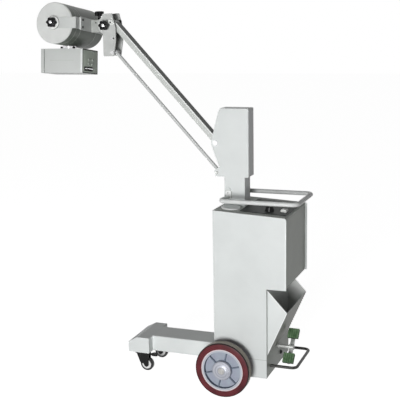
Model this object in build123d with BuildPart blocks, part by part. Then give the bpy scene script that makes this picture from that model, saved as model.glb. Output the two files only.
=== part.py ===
from build123d import *
import math
import os

os.makedirs("parts", exist_ok=True)

# Mobile x-ray machine. Millimetres, +X forward, +Y the machine's left side, +Z up.
# The origin is on the floor, straight under the axle of the two large wheels.

# wheels and axle
wheel_r = 150.0
wheel_w = 50.0
wheel_face_y = 333.0
tread_t = 34.0
tread_edge_r = 8.0
rim_t = 15.0
rim_step = 3.0
web_half = 7.0
hub_r = 53.0
hub_ring_r = 42.0
hub_step = 2.5
hub_proud = 2.0
spoke_count = 7
spoke_t = 6.0
spoke_half = 17.0
axle_r = 12.5
axle_sleeve_r = 20.5
axle_cap_r = 20.0
axle_cap_h = 10.0
run_gap = 0.08
side_gap = 0.4

# base, leg and cross bar
base_rear_x = -214.0
base_under_axle = 62.0
seam_over_axle = 41.0
leg_half = 83.0
leg_top_z = 202.0
leg_bottom_z = 112.0
leg_edge_r = 6.0
bar_rear_x = 508.0
bar_bevel_x = 579.0
bar_front_x = 636.0
bar_nose_z = 172.0
bar_half = 136.0
bar_edge_r = 3.0

# cabinet
cab_front_x = 80.0
cab_rear_x = -320.0
cab_half = 222.0
cab_notch_z = 584.0
cab_corner_r = 13.0
deck_front_z = 989.0
deck_rear_z = 968.0
deck_t = 16.0
deck_edge_r = 14.0
side_t = 4.0
rear_recess = 11.0
panel_rear_x = -303.0
panel_front_x = -52.0
panel_half = 167.0
panel_t = 3.0
dial_x = -195.0
dial_y = 95.0
dial_r = 24.0
dial_h = 26.0
dial_top_r = 20.5
switch_x = -270.0
switch_y = 76.0
switch_len = 34.0
switch_w = 40.0
switch_h = 8.0
switch_rim = 4.0
rocker_rise = 5.0
cover_x = 12.0
cover_inset = 104.0
cover_r = 52.0
cover_t = 7.0
bin_half = 204.0
bin_wall = 3.0
bin_top_z = 573.0
bin_lip_x = -322.0
bin_lip_z = 457.0
bin_foot_z = 213.0

# column
col_half = 48.0
cheek_t = 11.0
col_rear_x = -67.0
col_front_x = 92.0
col_top_z = 1508.0
col_bottom_z = 1140.0
col_edge_r = 8.0
nose_dx = 23.0
nose_half = 10.0
lug_dx = 14.0
lug_foot_dx = 8.0
lug_front_dz = 10.0
lug_back_dz = 34.0
crown_dx = 12.0
crown_dz = 22.0
neck_rear_x = -45.0
neck_front_x = 72.0
neck_edge_r = 5.0
slot_back_x = 62.0
slot_top_z = 1425.0
slot_rise = 24.0

# push handle, its lugs and the foot guard
handle_r = 12.0
handle_z = 1027.0
handle_front_x = 50.0
handle_rear_x = -363.0
handle_half = 150.0
handle_bend = 34.0
lug_r = 20.0
lug_t = 7.0
lug_rise = 34.0
lug_bite = 5.0
guard_r = 8.0
guard_z = 137.0
guard_rear_x = -356.0
guard_half = 150.0
guard_bend = 30.0

# arm, a parallelogram of a beam and a rod
beam_x = 121.0
beam_z = 1322.0
arm_angle = 47.2
arm_len = 880.0
link_dx = -6.0
link_dz = -162.0
beam_h = 31.0
beam_w = 54.0
beam_sleeve_r = 11.0
rod_r = 8.8
eye_r = 14.0
eye_w = 30.0
eye_play = 0.4
beam_pin_r = 8.0
rod_pin_r = 6.0
pin_head_h = 5.0
washer_gap = 0.6

# bracket at the arm's end, from the beam's head pivot
brk_half = 48.0
brk_t = 6.0
brk_top_dz = 50.0
brk_front_dx = 50.0
brk_rear_dx = 28.0
brk_foot = 21.0
brk_corner_r = 6.0
lobe_r = 51.0
web_drop = 62.0
tilt_dx = 27.0
tilt_dz = -15.7
tilt_bolt_r = 6.0

# carrier, from the tilt pivot
ear_r = 16.0
ear_t = 8.4
carrier_start = 34.0
carrier_reach = 95.6
carrier_h = 70.0
roll_rise = -3.0
roll_r = 15.0
roll_grip = 58.0
roll_rest = 6.3
knob_r = 27.0
knob_h = 24.0
knob_stem = 20.0
knob_lobes = 6
knob_lobe_r = 7.5
knob_disc_r = 36.0
knob_disc_t = 4.0
nut_r = 11.0

# yoke and tube head, from the carrier's front
yoke_plate_t = 8.0
yoke_plate_half = 158.0
yoke_plate_h = 70.0
yoke_web_t = 8.0
yoke_t = 6.0
yoke_h = 60.0
tube_gap = 17.0
tube_r = 111.3
tube_half = 195.0
cap_t = 9.0
cap_edge_r = 4.0
tube_edge_r = 30.0
stub_r = 10.0
strap_gap = 1.5
port_dx = 13.0
port_r = 38.0
port_bore_r = 28.0
port_flange_r = 46.0
port_flange_t = 5.0
port_sink = 24.0
port_drop = 17.0

# collimator, from the tube's axis
col_len = 264.0
col_wide = 179.0
col_high = 134.0
col_gap = 0.6
col_neck_h = 14.0
col_strip = 20.0
col_strip_cut = 2.0
dials_y = 17.5
dials_z = 66.0
dials_apart = 41.0
dial_small_r = 7.0
dial_small_h = 12.0

# casters
caster_x = 560.0
caster_y = 105.0
caster_wheel_r = 39.0
caster_wheel_w = 25.0
caster_tread = 4.0
caster_trail = 26.0
caster_plate_t = 6.0
caster_plate_len = 76.0
caster_plate_wide = 56.0
caster_axle_r = 5.0
caster_pivot_r = 8.0
caster_turn_gap = 1.0
caster_head_r = 25.0
caster_cheek_t = 4.0
caster_cheek_gap = 3.0
caster_cheek_r = 14.0
caster_room = 4.0
brake_reach = 76.0
brake_wide = 20.0
brake_t = 6.0
brake_drop = 5.0

# pedal
pedal_x = -292.0
pedal_z = 197.0
pedal_shaft_r = 9.0
pedal_hub_r = 15.0
pedal_hub_w = 26.0
pedal_foot_r = 14.0
pedal_foot_t = 10.0
pedal_tilt = 45.0
pedal_arm_t = 10.0
pedal_arm_w = 22.0
pad_w = 54.0
pad_d = 60.0
pad_h = 22.0
pad_gap = 50.0
pad_ribs = 5
pad_rib_cut = 3.0

# values that follow
base_bottom_z = wheel_r - base_under_axle
base_seam_z = wheel_r + seam_over_axle
cover_y = cab_half - cover_inset
wheel_mid_y = wheel_face_y - wheel_w / 2
wheel_in_y = wheel_face_y - wheel_w
hub_out_y = wheel_face_y + hub_proud
hub_in_y = wheel_in_y - hub_proud
rim_r = wheel_r - tread_t
rim_in_r = rim_r - rim_t
cab_in = cab_half - side_t
panel_x = (panel_rear_x + panel_front_x) / 2
beam_dir_x = math.cos(math.radians(arm_angle))
beam_dir_z = math.sin(math.radians(arm_angle))
head_x = beam_x + arm_len * beam_dir_x
head_z = beam_z + arm_len * beam_dir_z
rod_x = beam_x + link_dx
rod_z = beam_z + link_dz
rod_head_x = head_x + link_dx
rod_head_z = head_z + link_dz
tilt_x = head_x + tilt_dx
tilt_z = head_z + tilt_dz
brk_in = brk_half - brk_t
cheek_in = col_half - cheek_t
ear_out = brk_in - washer_gap
carrier_back_x = tilt_x + carrier_start
carrier_front_x = tilt_x + carrier_reach
roll_z = tilt_z + roll_rise
plate_x = carrier_front_x + washer_gap
web_x = plate_x + yoke_plate_t
strap_in = tube_half + strap_gap
tube_x = web_x + yoke_web_t + tube_gap + tube_r
port_x = tube_x + port_dx
port_bottom_z = roll_z - tube_r - port_drop
col_top = port_bottom_z - col_gap
col_bottom = col_top - col_high
roll_axis = Axis((0, 0, roll_z), (1, 0, 0))


def deck_z(x):
    """Height of the sloping top deck's upper face at x."""
    share = (x - cab_rear_x) / (cab_front_x - cab_rear_x)
    return deck_rear_z + (deck_front_z - deck_rear_z) * share


def on_deck(x, y, rise=0.0):
    """Plane that lies on the sloping deck at x, y, its normal away from the deck."""
    slope = math.atan2(deck_front_z - deck_rear_z, cab_front_x - cab_rear_x)
    flat = Plane(origin=(x, y, deck_z(x)), x_dir=(math.cos(slope), 0, math.sin(slope)),
                 z_dir=(-math.sin(slope), 0, math.cos(slope)))
    return flat.offset(rise)


def side_plane(x, y, z, side=1):
    """Plane that faces one side of the machine, its normal along +Y or -Y."""
    return Plane(origin=(x, y, z), x_dir=(1, 0, 0), z_dir=(0, side, 0))


def knob_outline():
    """Grip outline of a star knob, on the plane of the sketch it is called in."""
    Circle(knob_r - 0.75 * knob_lobe_r)
    with PolarLocations(knob_r - knob_lobe_r, knob_lobes):
        Circle(knob_lobe_r)


# base
with BuildPart() as base_frame:
    with BuildSketch(Plane.XZ):
        with BuildLine():
            Polyline(
                (base_rear_x, base_bottom_z),
                (cab_front_x, base_bottom_z),
                (cab_front_x, base_seam_z),
                (base_rear_x, base_seam_z),
                close=True,
            )
        make_face()
    extrude(amount=cab_in, both=True)
    with BuildSketch(side_plane(0, 0, wheel_r)):
        Circle(axle_r)
    extrude(amount=cab_half, both=True, mode=Mode.SUBTRACT)
base_frame.part.label = "base_frame"
export_step(base_frame.part, "parts/base_frame.step")

# the axle's end caps are shallow domes that hold the wheels on
axle_steps = (
    (axle_r, 0.0, hub_out_y + side_gap),
    (axle_sleeve_r, cab_half, hub_in_y - side_gap),
    (axle_cap_r, hub_out_y + side_gap, hub_out_y + side_gap + axle_cap_h),
)
with BuildPart() as axle:
    for side in (1, -1):
        for step_r, y_from, y_to in axle_steps:
            with BuildSketch(side_plane(0, side * y_from, wheel_r, side)):
                Circle(step_r)
            extrude(amount=y_to - y_from)
        end_face = axle.faces().sort_by(Axis.Y)[-1 if side == 1 else 0]
        fillet(end_face.edges(), 0.7 * axle_cap_h)
axle.part.label = "axle"
export_step(axle.part, "parts/axle.step")

with BuildPart() as leg_beam:
    with BuildSketch(Plane.YZ.offset(cab_front_x)):
        with Locations((0, (leg_top_z + leg_bottom_z) / 2)):
            RectangleRounded(2 * leg_half, leg_top_z - leg_bottom_z, leg_edge_r)
    extrude(amount=bar_rear_x - cab_front_x)
leg_beam.part.label = "leg_beam"
export_step(leg_beam.part, "parts/leg_beam.step")

with BuildPart() as cross_bar:
    with BuildSketch(Plane.XZ) as outline:
        with BuildLine():
            Polyline(
                (bar_rear_x, leg_bottom_z),
                (bar_front_x, leg_bottom_z),
                (bar_front_x, bar_nose_z),
                (bar_bevel_x, leg_top_z),
                (bar_rear_x, leg_top_z),
                close=True,
            )
        make_face()
        fillet(outline.vertices(), bar_edge_r)
    extrude(amount=bar_half, both=True)
cross_bar.part.label = "cross_bar"
export_step(cross_bar.part, "parts/cross_bar.step")

# cabinet
shell_rear_x = cab_rear_x + rear_recess
with BuildPart() as cabinet_body:
    with BuildSketch(Plane.XZ):
        with BuildLine():
            Polyline(
                (base_rear_x, base_seam_z),
                (cab_front_x, base_seam_z),
                (cab_front_x, deck_z(cab_front_x) - deck_t),
                (shell_rear_x, deck_z(shell_rear_x) - deck_t),
                (shell_rear_x, cab_notch_z),
                (base_rear_x, cab_notch_z),
                close=True,
            )
        make_face()
    extrude(amount=cab_in, both=True)
cabinet_body.part.label = "cabinet_body"
export_step(cabinet_body.part, "parts/cabinet_body.step")

for name, side in (("side_panel_left", 1), ("side_panel_right", -1)):
    with BuildPart() as side_panel:
        with BuildSketch(side_plane(0, side * cab_in, 0)) as outline:
            with BuildLine():
                Polyline(
                    (base_rear_x, -base_bottom_z),
                    (cab_front_x, -base_bottom_z),
                    (cab_front_x, -deck_z(cab_front_x)),
                    (cab_rear_x, -deck_z(cab_rear_x)),
                    (cab_rear_x, -cab_notch_z),
                    (base_rear_x, -cab_notch_z),
                    close=True,
                )
            make_face()
            fillet(outline.vertices().group_by(Axis.X)[0].sort_by(Axis.Y)[0], cab_corner_r)
            with Locations((0, -wheel_r)):
                Circle(axle_r, mode=Mode.SUBTRACT)
        extrude(amount=side * side_t)
    side_panel.part.label = name
    export_step(side_panel.part, f"parts/{name}.step")

with BuildPart() as top_deck:
    with BuildSketch(Plane.XZ) as outline:
        with BuildLine():
            Polyline(
                (shell_rear_x, deck_z(shell_rear_x) - deck_t),
                (cab_front_x, deck_z(cab_front_x) - deck_t),
                (cab_front_x, deck_z(cab_front_x)),
                (shell_rear_x, deck_z(shell_rear_x)),
                close=True,
            )
        make_face()
        fillet(outline.vertices().group_by(Axis.X)[0].sort_by(Axis.Y)[-1], deck_edge_r)
    extrude(amount=cab_in, both=True)
top_deck.part.label = "top_deck"
export_step(top_deck.part, "parts/top_deck.step")

with BuildPart() as deck_cover:
    with BuildSketch(on_deck(cover_x, cover_y)):
        Circle(cover_r)
    extrude(amount=cover_t)
    chamfer(deck_cover.faces().sort_by(Axis.Z)[-1].edges(), 0.3 * cover_t)
deck_cover.part.label = "deck_cover"
export_step(deck_cover.part, "parts/deck_cover.step")

with BuildPart() as control_panel:
    with BuildSketch(on_deck(panel_x, 0)):
        RectangleRounded(panel_front_x - panel_rear_x, 2 * panel_half, 8)
    extrude(amount=panel_t)
control_panel.part.label = "control_panel"
export_step(control_panel.part, "parts/control_panel.step")

with BuildPart() as selector_knob:
    with BuildSketch(on_deck(dial_x, dial_y, panel_t)):
        Circle(dial_r)
    with BuildSketch(on_deck(dial_x, dial_y, panel_t + 0.8 * dial_h)):
        Circle(dial_top_r)
    loft()
    with BuildSketch(on_deck(dial_x, dial_y, panel_t + 0.8 * dial_h)):
        Circle(dial_top_r)
    with BuildSketch(on_deck(dial_x, dial_y, panel_t + dial_h)):
        Circle(0.8 * dial_top_r)
    loft()
selector_knob.part.label = "selector_knob"
export_step(selector_knob.part, "parts/selector_knob.step")

# rocker switch: a rim with two sloped halves
with BuildPart() as power_switch:
    with BuildSketch(on_deck(switch_x, switch_y, panel_t)):
        RectangleRounded(switch_len, switch_w, 3)
    extrude(amount=switch_h)
    for half in (1, -1):
        with BuildSketch(on_deck(switch_x, switch_y, panel_t + switch_h)):
            with Locations((0, half * (switch_w - 2 * switch_rim) / 4)):
                Rectangle(switch_len - 2 * switch_rim, (switch_w - 2 * switch_rim) / 2)
        with BuildSketch(on_deck(switch_x, switch_y, panel_t + switch_h + rocker_rise)):
            with Locations((0, half * (switch_w - 2 * switch_rim - rocker_rise) / 2)):
                Rectangle(switch_len - 2 * switch_rim, rocker_rise)
        loft()
power_switch.part.label = "power_switch"
export_step(power_switch.part, "parts/power_switch.step")

# cassette bin on the lower rear face
bin_slope = math.atan2(bin_lip_z - bin_foot_z, base_rear_x - bin_lip_x)
bin_floor_z = bin_foot_z + 4 * bin_wall
with BuildPart() as cassette_bin:
    with BuildSketch(Plane.XZ):
        with BuildLine():
            Polyline(
                (base_rear_x, bin_foot_z),
                (base_rear_x, bin_top_z),
                (bin_lip_x, bin_lip_z),
                close=True,
            )
        make_face()
    extrude(amount=bin_half, both=True)
    with BuildSketch(Plane.XZ):
        with BuildLine():
            Polyline(
                (base_rear_x - bin_wall, bin_floor_z),
                (base_rear_x - bin_wall, bin_top_z + bin_wall),
                (bin_lip_x, bin_top_z + bin_wall),
                (bin_lip_x, bin_lip_z + bin_wall * math.tan(bin_slope)),
                (bin_lip_x + bin_wall / math.sin(bin_slope), bin_lip_z),
                close=True,
            )
        make_face()
    extrude(amount=bin_half - bin_wall, both=True, mode=Mode.SUBTRACT)
cassette_bin.part.label = "cassette_bin"
export_step(cassette_bin.part, "parts/cassette_bin.step")

# column: a housing whose front is a slot between two cheeks that carry the arm's pins
with BuildPart() as column_housing:
    with BuildSketch(Plane.XZ):
        with BuildLine():
            Polyline(
                (col_rear_x, col_bottom_z),
                (rod_x + lug_dx - lug_foot_dx, col_bottom_z),
                (rod_x + lug_dx, rod_z + lug_front_dz),
                (rod_x - lug_dx, rod_z + lug_back_dz),
                (beam_x + nose_dx, beam_z - nose_half),
                (beam_x + nose_dx, beam_z + nose_half),
                (col_front_x + crown_dx, col_top_z - crown_dz),
                (col_front_x, col_top_z),
                (col_rear_x, col_top_z),
                close=True,
            )
        make_face()
    extrude(amount=col_half, both=True)
    fillet(column_housing.faces().sort_by(Axis.X)[0].edges(), col_edge_r)
    with BuildSketch(Plane.XZ):
        with BuildLine():
            Polyline(
                (slot_back_x, col_bottom_z + slot_rise),
                (slot_back_x + 0.75 * slot_rise, col_bottom_z - 1),
                (beam_x + 2 * nose_dx, col_bottom_z - 1),
                (beam_x + 2 * nose_dx, slot_top_z),
                (slot_back_x, slot_top_z),
                close=True,
            )
        make_face()
    extrude(amount=cheek_in, both=True, mode=Mode.SUBTRACT)
    for px, pz, pr in ((beam_x, beam_z, beam_pin_r), (rod_x, rod_z, rod_pin_r)):
        with BuildSketch(side_plane(px, 0, pz)):
            Circle(pr)
        extrude(amount=2 * col_half, both=True, mode=Mode.SUBTRACT)
column_housing.part.label = "column_housing"
export_step(column_housing.part, "parts/column_housing.step")

neck_mid_x = (neck_front_x + neck_rear_x) / 2
with BuildPart() as column_neck:
    with BuildSketch(Plane.XY.offset(deck_rear_z - deck_t)):
        with Locations((neck_mid_x, 0)):
            RectangleRounded(neck_front_x - neck_rear_x, 2 * col_half, neck_edge_r)
    extrude(amount=col_bottom_z - deck_rear_z + deck_t)
    for side in (1, -1):
        with BuildSketch(side_plane(handle_front_x, side * col_half, handle_z)):
            Circle(lug_r)
            with Locations((0, -lug_rise / 2)):
                Rectangle(2 * lug_r, lug_rise)
            with Locations((0, -lug_rise)):
                Circle(lug_r)
        extrude(amount=side * lug_t)
        with BuildSketch(side_plane(handle_front_x, side * (col_half + lug_t), handle_z)):
            Circle(handle_r)
        extrude(amount=-side * lug_bite, mode=Mode.SUBTRACT)
    with BuildSketch(Plane.XZ):
        with BuildLine():
            Polyline(
                (neck_rear_x - lug_r, deck_rear_z - 2 * deck_t),
                (cab_front_x + lug_r, deck_rear_z - 2 * deck_t),
                (cab_front_x + lug_r, deck_z(cab_front_x + lug_r)),
                (neck_rear_x - lug_r, deck_z(neck_rear_x - lug_r)),
                close=True,
            )
        make_face()
    extrude(amount=cab_half, both=True, mode=Mode.SUBTRACT)
column_neck.part.label = "column_neck"
export_step(column_neck.part, "parts/column_neck.step")

grip_y = col_half + lug_t - lug_bite
with BuildPart() as push_handle:
    with BuildLine(Plane.XY.offset(handle_z)):
        FilletPolyline(
            (handle_front_x, grip_y, 0),
            (handle_front_x, handle_half, 0),
            (handle_rear_x, handle_half, 0),
            (handle_rear_x, -handle_half, 0),
            (handle_front_x, -handle_half, 0),
            (handle_front_x, -grip_y, 0),
            radius=handle_bend,
        )
    with BuildSketch(Plane(origin=(handle_front_x, grip_y, handle_z), z_dir=(0, 1, 0))):
        Circle(handle_r)
    sweep()
push_handle.part.label = "push_handle"
export_step(push_handle.part, "parts/push_handle.step")

with BuildPart() as foot_guard:
    with BuildLine(Plane.XY.offset(guard_z)):
        FilletPolyline(
            (base_rear_x, guard_half, 0),
            (guard_rear_x, guard_half, 0),
            (guard_rear_x, -guard_half, 0),
            (base_rear_x, -guard_half, 0),
            radius=guard_bend,
        )
    with BuildSketch(Plane(origin=(base_rear_x, guard_half, guard_z), z_dir=(-1, 0, 0))):
        Circle(guard_r)
    sweep()
foot_guard.part.label = "foot_guard"
export_step(foot_guard.part, "parts/foot_guard.step")

# foot pedal for the brake: a rocker on a shaft, with a ribbed pad at each end
pedal_plane = Plane(
    origin=(pedal_x, 0, pedal_z),
    x_dir=(0, math.cos(math.radians(pedal_tilt)), -math.sin(math.radians(pedal_tilt))),
    z_dir=(0, math.sin(math.radians(pedal_tilt)), math.cos(math.radians(pedal_tilt))),
)
with BuildPart() as pedal_lever:
    with BuildSketch(Plane.YZ.offset(base_rear_x)):
        with Locations((0, pedal_z)):
            Circle(pedal_shaft_r)
    extrude(amount=pedal_x - base_rear_x)
    with BuildSketch(Plane.YZ.offset(base_rear_x)):
        with Locations((0, pedal_z)):
            Circle(pedal_foot_r)
    extrude(amount=-pedal_foot_t)
    with BuildSketch(Plane.YZ.offset(pedal_x)):
        with Locations((0, pedal_z)):
            Circle(pedal_hub_r)
    extrude(amount=pedal_hub_w / 2, both=True)
    with BuildSketch(pedal_plane):
        SlotOverall(2 * pad_w + pad_gap, pedal_arm_w)
    extrude(amount=pedal_arm_t / 2, both=True)
pedal_lever.part.label = "pedal_lever"
export_step(pedal_lever.part, "parts/pedal_lever.step")

for name, side in (("pedal_pad_left", 1), ("pedal_pad_right", -1)):
    with BuildPart() as pedal_pad:
        with BuildSketch(pedal_plane.offset(pedal_arm_t / 2)):
            with Locations((side * (pad_gap + pad_w) / 2, 0)):
                RectangleRounded(pad_w, pad_d, 5)
        extrude(amount=pad_h)
        with BuildSketch(pedal_plane.offset(pedal_arm_t / 2 + pad_h)):
            with Locations((side * (pad_gap + pad_w) / 2, 0)):
                with GridLocations(pad_w / pad_ribs, 1, pad_ribs, 1):
                    Rectangle(pad_rib_cut, pad_d)
        extrude(amount=-pad_rib_cut, mode=Mode.SUBTRACT)
    pedal_pad.part.label = name
    export_step(pedal_pad.part, f"parts/{name}.step")

# large wheels: a turned tread on a moulded core with a stepped hub and thin ribs
for name, side in (("left", 1), ("right", -1)):
    mid_y = side * wheel_mid_y
    spin = Axis((0, mid_y, wheel_r), (0, 1, 0))
    with BuildPart() as tyre:
        with BuildSketch(Plane.XY.offset(wheel_r)) as section:
            with Locations(((wheel_r + rim_r) / 2, mid_y)):
                Rectangle(tread_t, wheel_w)
            fillet(section.vertices().group_by(Axis.X)[-1], tread_edge_r)
        revolve(axis=spin)
    tyre.part.label = f"tyre_{name}"
    export_step(tyre.part, f"parts/tyre_{name}.step")

    half = wheel_w / 2
    with BuildPart() as wheel_core:
        with BuildSketch(Plane.XY.offset(wheel_r)):
            for out in (1, -1):
                with BuildLine():
                    Polyline(
                        (axle_r + run_gap, mid_y),
                        (axle_r + run_gap, mid_y + out * (half + hub_proud)),
                        (hub_ring_r, mid_y + out * (half + hub_proud)),
                        (hub_ring_r, mid_y + out * (half + hub_proud - hub_step)),
                        (hub_r, mid_y + out * (half + hub_proud - hub_step)),
                        (hub_r, mid_y + out * web_half),
                        (rim_in_r - 0.6 * spoke_t, mid_y + out * web_half),
                        (rim_in_r, mid_y + out * (half - rim_step)),
                        (rim_r, mid_y + out * (half - rim_step)),
                        (rim_r, mid_y),
                        close=True,
                    )
                make_face()
        revolve(axis=spin)
        with BuildSketch(side_plane(0, mid_y, wheel_r)):
            with PolarLocations((hub_r + rim_in_r) / 2, spoke_count, start_angle=16 - 90):
                Rectangle(rim_in_r - hub_r + rim_t, spoke_t)
        extrude(amount=spoke_half, both=True)
    wheel_core.part.label = f"wheel_core_{name}"
    export_step(wheel_core.part, f"parts/wheel_core_{name}.step")

# swivel casters with a hooded fork and a foot brake tab behind
fork_top_z = leg_bottom_z - caster_plate_t - caster_turn_gap
fork_under_z = 2 * caster_wheel_r + caster_room
pivot_depth = fork_top_z - fork_under_z - caster_turn_gap
for name, side in (("left", 1), ("right", -1)):
    cy = side * caster_y
    ax = caster_x - caster_trail
    with BuildPart() as caster_plate:
        with BuildSketch(Plane.XY.offset(leg_bottom_z - caster_plate_t)):
            with Locations((caster_x, cy)):
                RectangleRounded(caster_plate_len, caster_plate_wide, 6)
        extrude(amount=caster_plate_t)
        with BuildSketch(Plane.XY.offset(leg_bottom_z - caster_plate_t)):
            with Locations((caster_x, cy)):
                Circle(caster_pivot_r)
        extrude(amount=-pivot_depth)
    caster_plate.part.label = f"caster_plate_{name}"
    export_step(caster_plate.part, f"parts/caster_plate_{name}.step")

    fork_half = caster_wheel_w / 2 + caster_cheek_gap + caster_cheek_t
    with BuildPart() as caster_fork:
        with BuildSketch(Plane.XY.offset(fork_top_z)):
            with Locations((caster_x, cy)):
                Circle(caster_head_r)
            with Locations(((caster_x + ax) / 2, cy)):
                Rectangle(caster_trail + caster_cheek_r, 2 * fork_half)
        extrude(amount=-(fork_top_z - fork_under_z))
        for cheek in (1, -1):
            with BuildSketch(side_plane(0, cy + cheek * fork_half, 0, cheek)):
                with BuildLine():
                    Polyline(
                        (caster_x + 0.6 * caster_head_r, -cheek * fork_top_z),
                        (caster_x + 0.6 * caster_head_r, -cheek * fork_under_z),
                        (ax + 0.7 * caster_cheek_r, -cheek * (caster_wheel_r - 0.7 * caster_cheek_r)),
                        (ax - caster_cheek_r, -cheek * caster_wheel_r),
                        (ax - caster_cheek_r, -cheek * fork_top_z),
                        close=True,
                    )
                make_face()
                with Locations((ax, -cheek * caster_wheel_r)):
                    Circle(caster_cheek_r)
            extrude(amount=-caster_cheek_t)
        with BuildSketch(side_plane(ax, cy, caster_wheel_r)):
            Circle(caster_axle_r)
        extrude(amount=fork_half + 1, both=True)
        with BuildSketch(Plane.XY.offset(fork_top_z - brake_drop)):
            with Locations((caster_x - brake_reach / 2, cy)):
                Rectangle(brake_reach, brake_wide)
            with Locations((caster_x - brake_reach, cy)):
                Circle(brake_wide / 2)
        extrude(amount=-brake_t)
        with BuildSketch(Plane.XY.offset(fork_top_z)):
            with Locations((caster_x, cy)):
                Circle(caster_pivot_r + run_gap)
        extrude(amount=-(fork_top_z - fork_under_z), mode=Mode.SUBTRACT)
    caster_fork.part.label = f"caster_fork_{name}"
    export_step(caster_fork.part, f"parts/caster_fork_{name}.step")

    with BuildPart() as caster_wheel:
        with BuildSketch(Plane.XY.offset(caster_wheel_r)) as section:
            with Locations(((ax + caster_axle_r + run_gap + ax + caster_wheel_r) / 2, cy)):
                Rectangle(caster_wheel_r - caster_axle_r - run_gap, caster_wheel_w)
            chamfer(section.vertices().group_by(Axis.X)[-1], caster_tread)
        revolve(axis=Axis((ax, cy, caster_wheel_r), (0, 1, 0)))
    caster_wheel.part.label = f"caster_wheel_{name}"
    export_step(caster_wheel.part, f"parts/caster_wheel_{name}.step")

# arm: the beam's hub fills the column's slot, its head carries a slimmer sleeve
beam_plane = Plane(origin=(beam_x, 0, beam_z), x_dir=(beam_dir_x, 0, beam_dir_z), z_dir=(0, -1, 0))
rod_plane = Plane(origin=(rod_x, 0, rod_z), x_dir=(beam_dir_x, 0, beam_dir_z), z_dir=(0, -1, 0))
with BuildPart() as arm_beam:
    with BuildSketch(beam_plane):
        with Locations((arm_len / 2, 0)):
            SlotCenterToCenter(arm_len, beam_h)
    extrude(amount=beam_w / 2, both=True)
    with BuildSketch(beam_plane):
        Circle(beam_h / 2)
    extrude(amount=cheek_in - washer_gap, both=True)
    with BuildSketch(beam_plane):
        with Locations((arm_len, 0)):
            Circle(beam_sleeve_r)
    extrude(amount=brk_in - washer_gap, both=True)
    with BuildSketch(beam_plane):
        with Locations((0, 0), (arm_len, 0)):
            Circle(beam_pin_r + run_gap)
    extrude(amount=beam_w, both=True, mode=Mode.SUBTRACT)
arm_beam.part.label = "arm_beam"
export_step(arm_beam.part, "parts/arm_beam.step")

with BuildPart() as arm_rod:
    with BuildSketch(Plane(origin=(rod_x, 0, rod_z), x_dir=(0, 1, 0), z_dir=(beam_dir_x, 0, beam_dir_z))):
        Circle(rod_r)
    extrude(amount=arm_len)
    with BuildSketch(rod_plane):
        with Locations((0, 0), (arm_len, 0)):
            Circle(eye_r)
    extrude(amount=eye_w / 2, both=True)
    with BuildSketch(rod_plane):
        Circle(rod_pin_r + run_gap)
        with Locations((arm_len, 0)):
            Circle(rod_pin_r + eye_play)
    extrude(amount=eye_w, both=True, mode=Mode.SUBTRACT)
arm_rod.part.label = "arm_rod"
export_step(arm_rod.part, "parts/arm_rod.step")

# name, x, z, radius, head radius, half length between the cheeks' outer faces
pins = (
    ("beam_column_pin", beam_x, beam_z, beam_pin_r, 15.5, col_half),
    ("rod_column_pin", rod_x, rod_z, rod_pin_r, 9.0, col_half),
    ("beam_head_pin", head_x, head_z, beam_pin_r, 16.0, brk_half),
    ("rod_head_pin", rod_head_x, rod_head_z, rod_pin_r, 10.0, brk_half),
)
for name, px, pz, pr, head_r, half in pins:
    with BuildPart() as pin:
        with BuildSketch(side_plane(px, 0, pz)):
            Circle(pr)
        extrude(amount=half, both=True)
        for side in (1, -1):
            with BuildSketch(side_plane(px, side * half, pz, side)):
                Circle(head_r)
            extrude(amount=pin_head_h, taper=20)
    pin.part.label = name
    export_step(pin.part, f"parts/{name}.step")

# bracket at the arm's end: two cheeks with a round lobe about the tilt pivot, and a front web
with BuildPart() as end_bracket:
    with BuildSketch(Plane.XZ) as outline:
        with BuildLine():
            Polyline(
                (head_x - 0.45 * brk_rear_dx, rod_head_z - brk_foot),
                (head_x + brk_front_dx, rod_head_z - brk_foot),
                (head_x + brk_front_dx, head_z + brk_top_dz - 4),
                (head_x - 0.3 * brk_rear_dx, head_z + brk_top_dz),
                (head_x - brk_rear_dx, head_z - brk_rear_dx),
                (head_x - brk_rear_dx, head_z - 0.6 * abs(link_dz)),
                close=True,
            )
        make_face()
        fillet(outline.vertices(), brk_corner_r)
        with Locations((tilt_x, tilt_z)):
            Circle(lobe_r)
    extrude(amount=brk_half, both=True)
    with BuildSketch(Plane.XZ):
        with BuildLine():
            web_in_x = head_x + brk_front_dx - brk_t
            Polyline(
                (web_in_x, rod_head_z - 2 * brk_foot),
                (web_in_x, tilt_z - web_drop),
                (tilt_x + 2 * lobe_r, tilt_z - web_drop),
                (tilt_x + 2 * lobe_r, head_z + 2 * brk_top_dz),
                (head_x - 2 * brk_rear_dx, head_z + 2 * brk_top_dz),
                (head_x - 2 * brk_rear_dx, rod_head_z - 2 * brk_foot),
                close=True,
            )
        make_face()
    extrude(amount=brk_in, both=True, mode=Mode.SUBTRACT)
    for px, pz, pr in (
        (head_x, head_z, beam_pin_r),
        (rod_head_x, rod_head_z, rod_pin_r),
        (tilt_x, tilt_z, tilt_bolt_r + run_gap),
    ):
        with BuildSketch(side_plane(px, 0, pz)):
            Circle(pr)
        extrude(amount=2 * brk_half, both=True, mode=Mode.SUBTRACT)
end_bracket.part.label = "end_bracket"
export_step(end_bracket.part, "parts/end_bracket.step")

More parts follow.
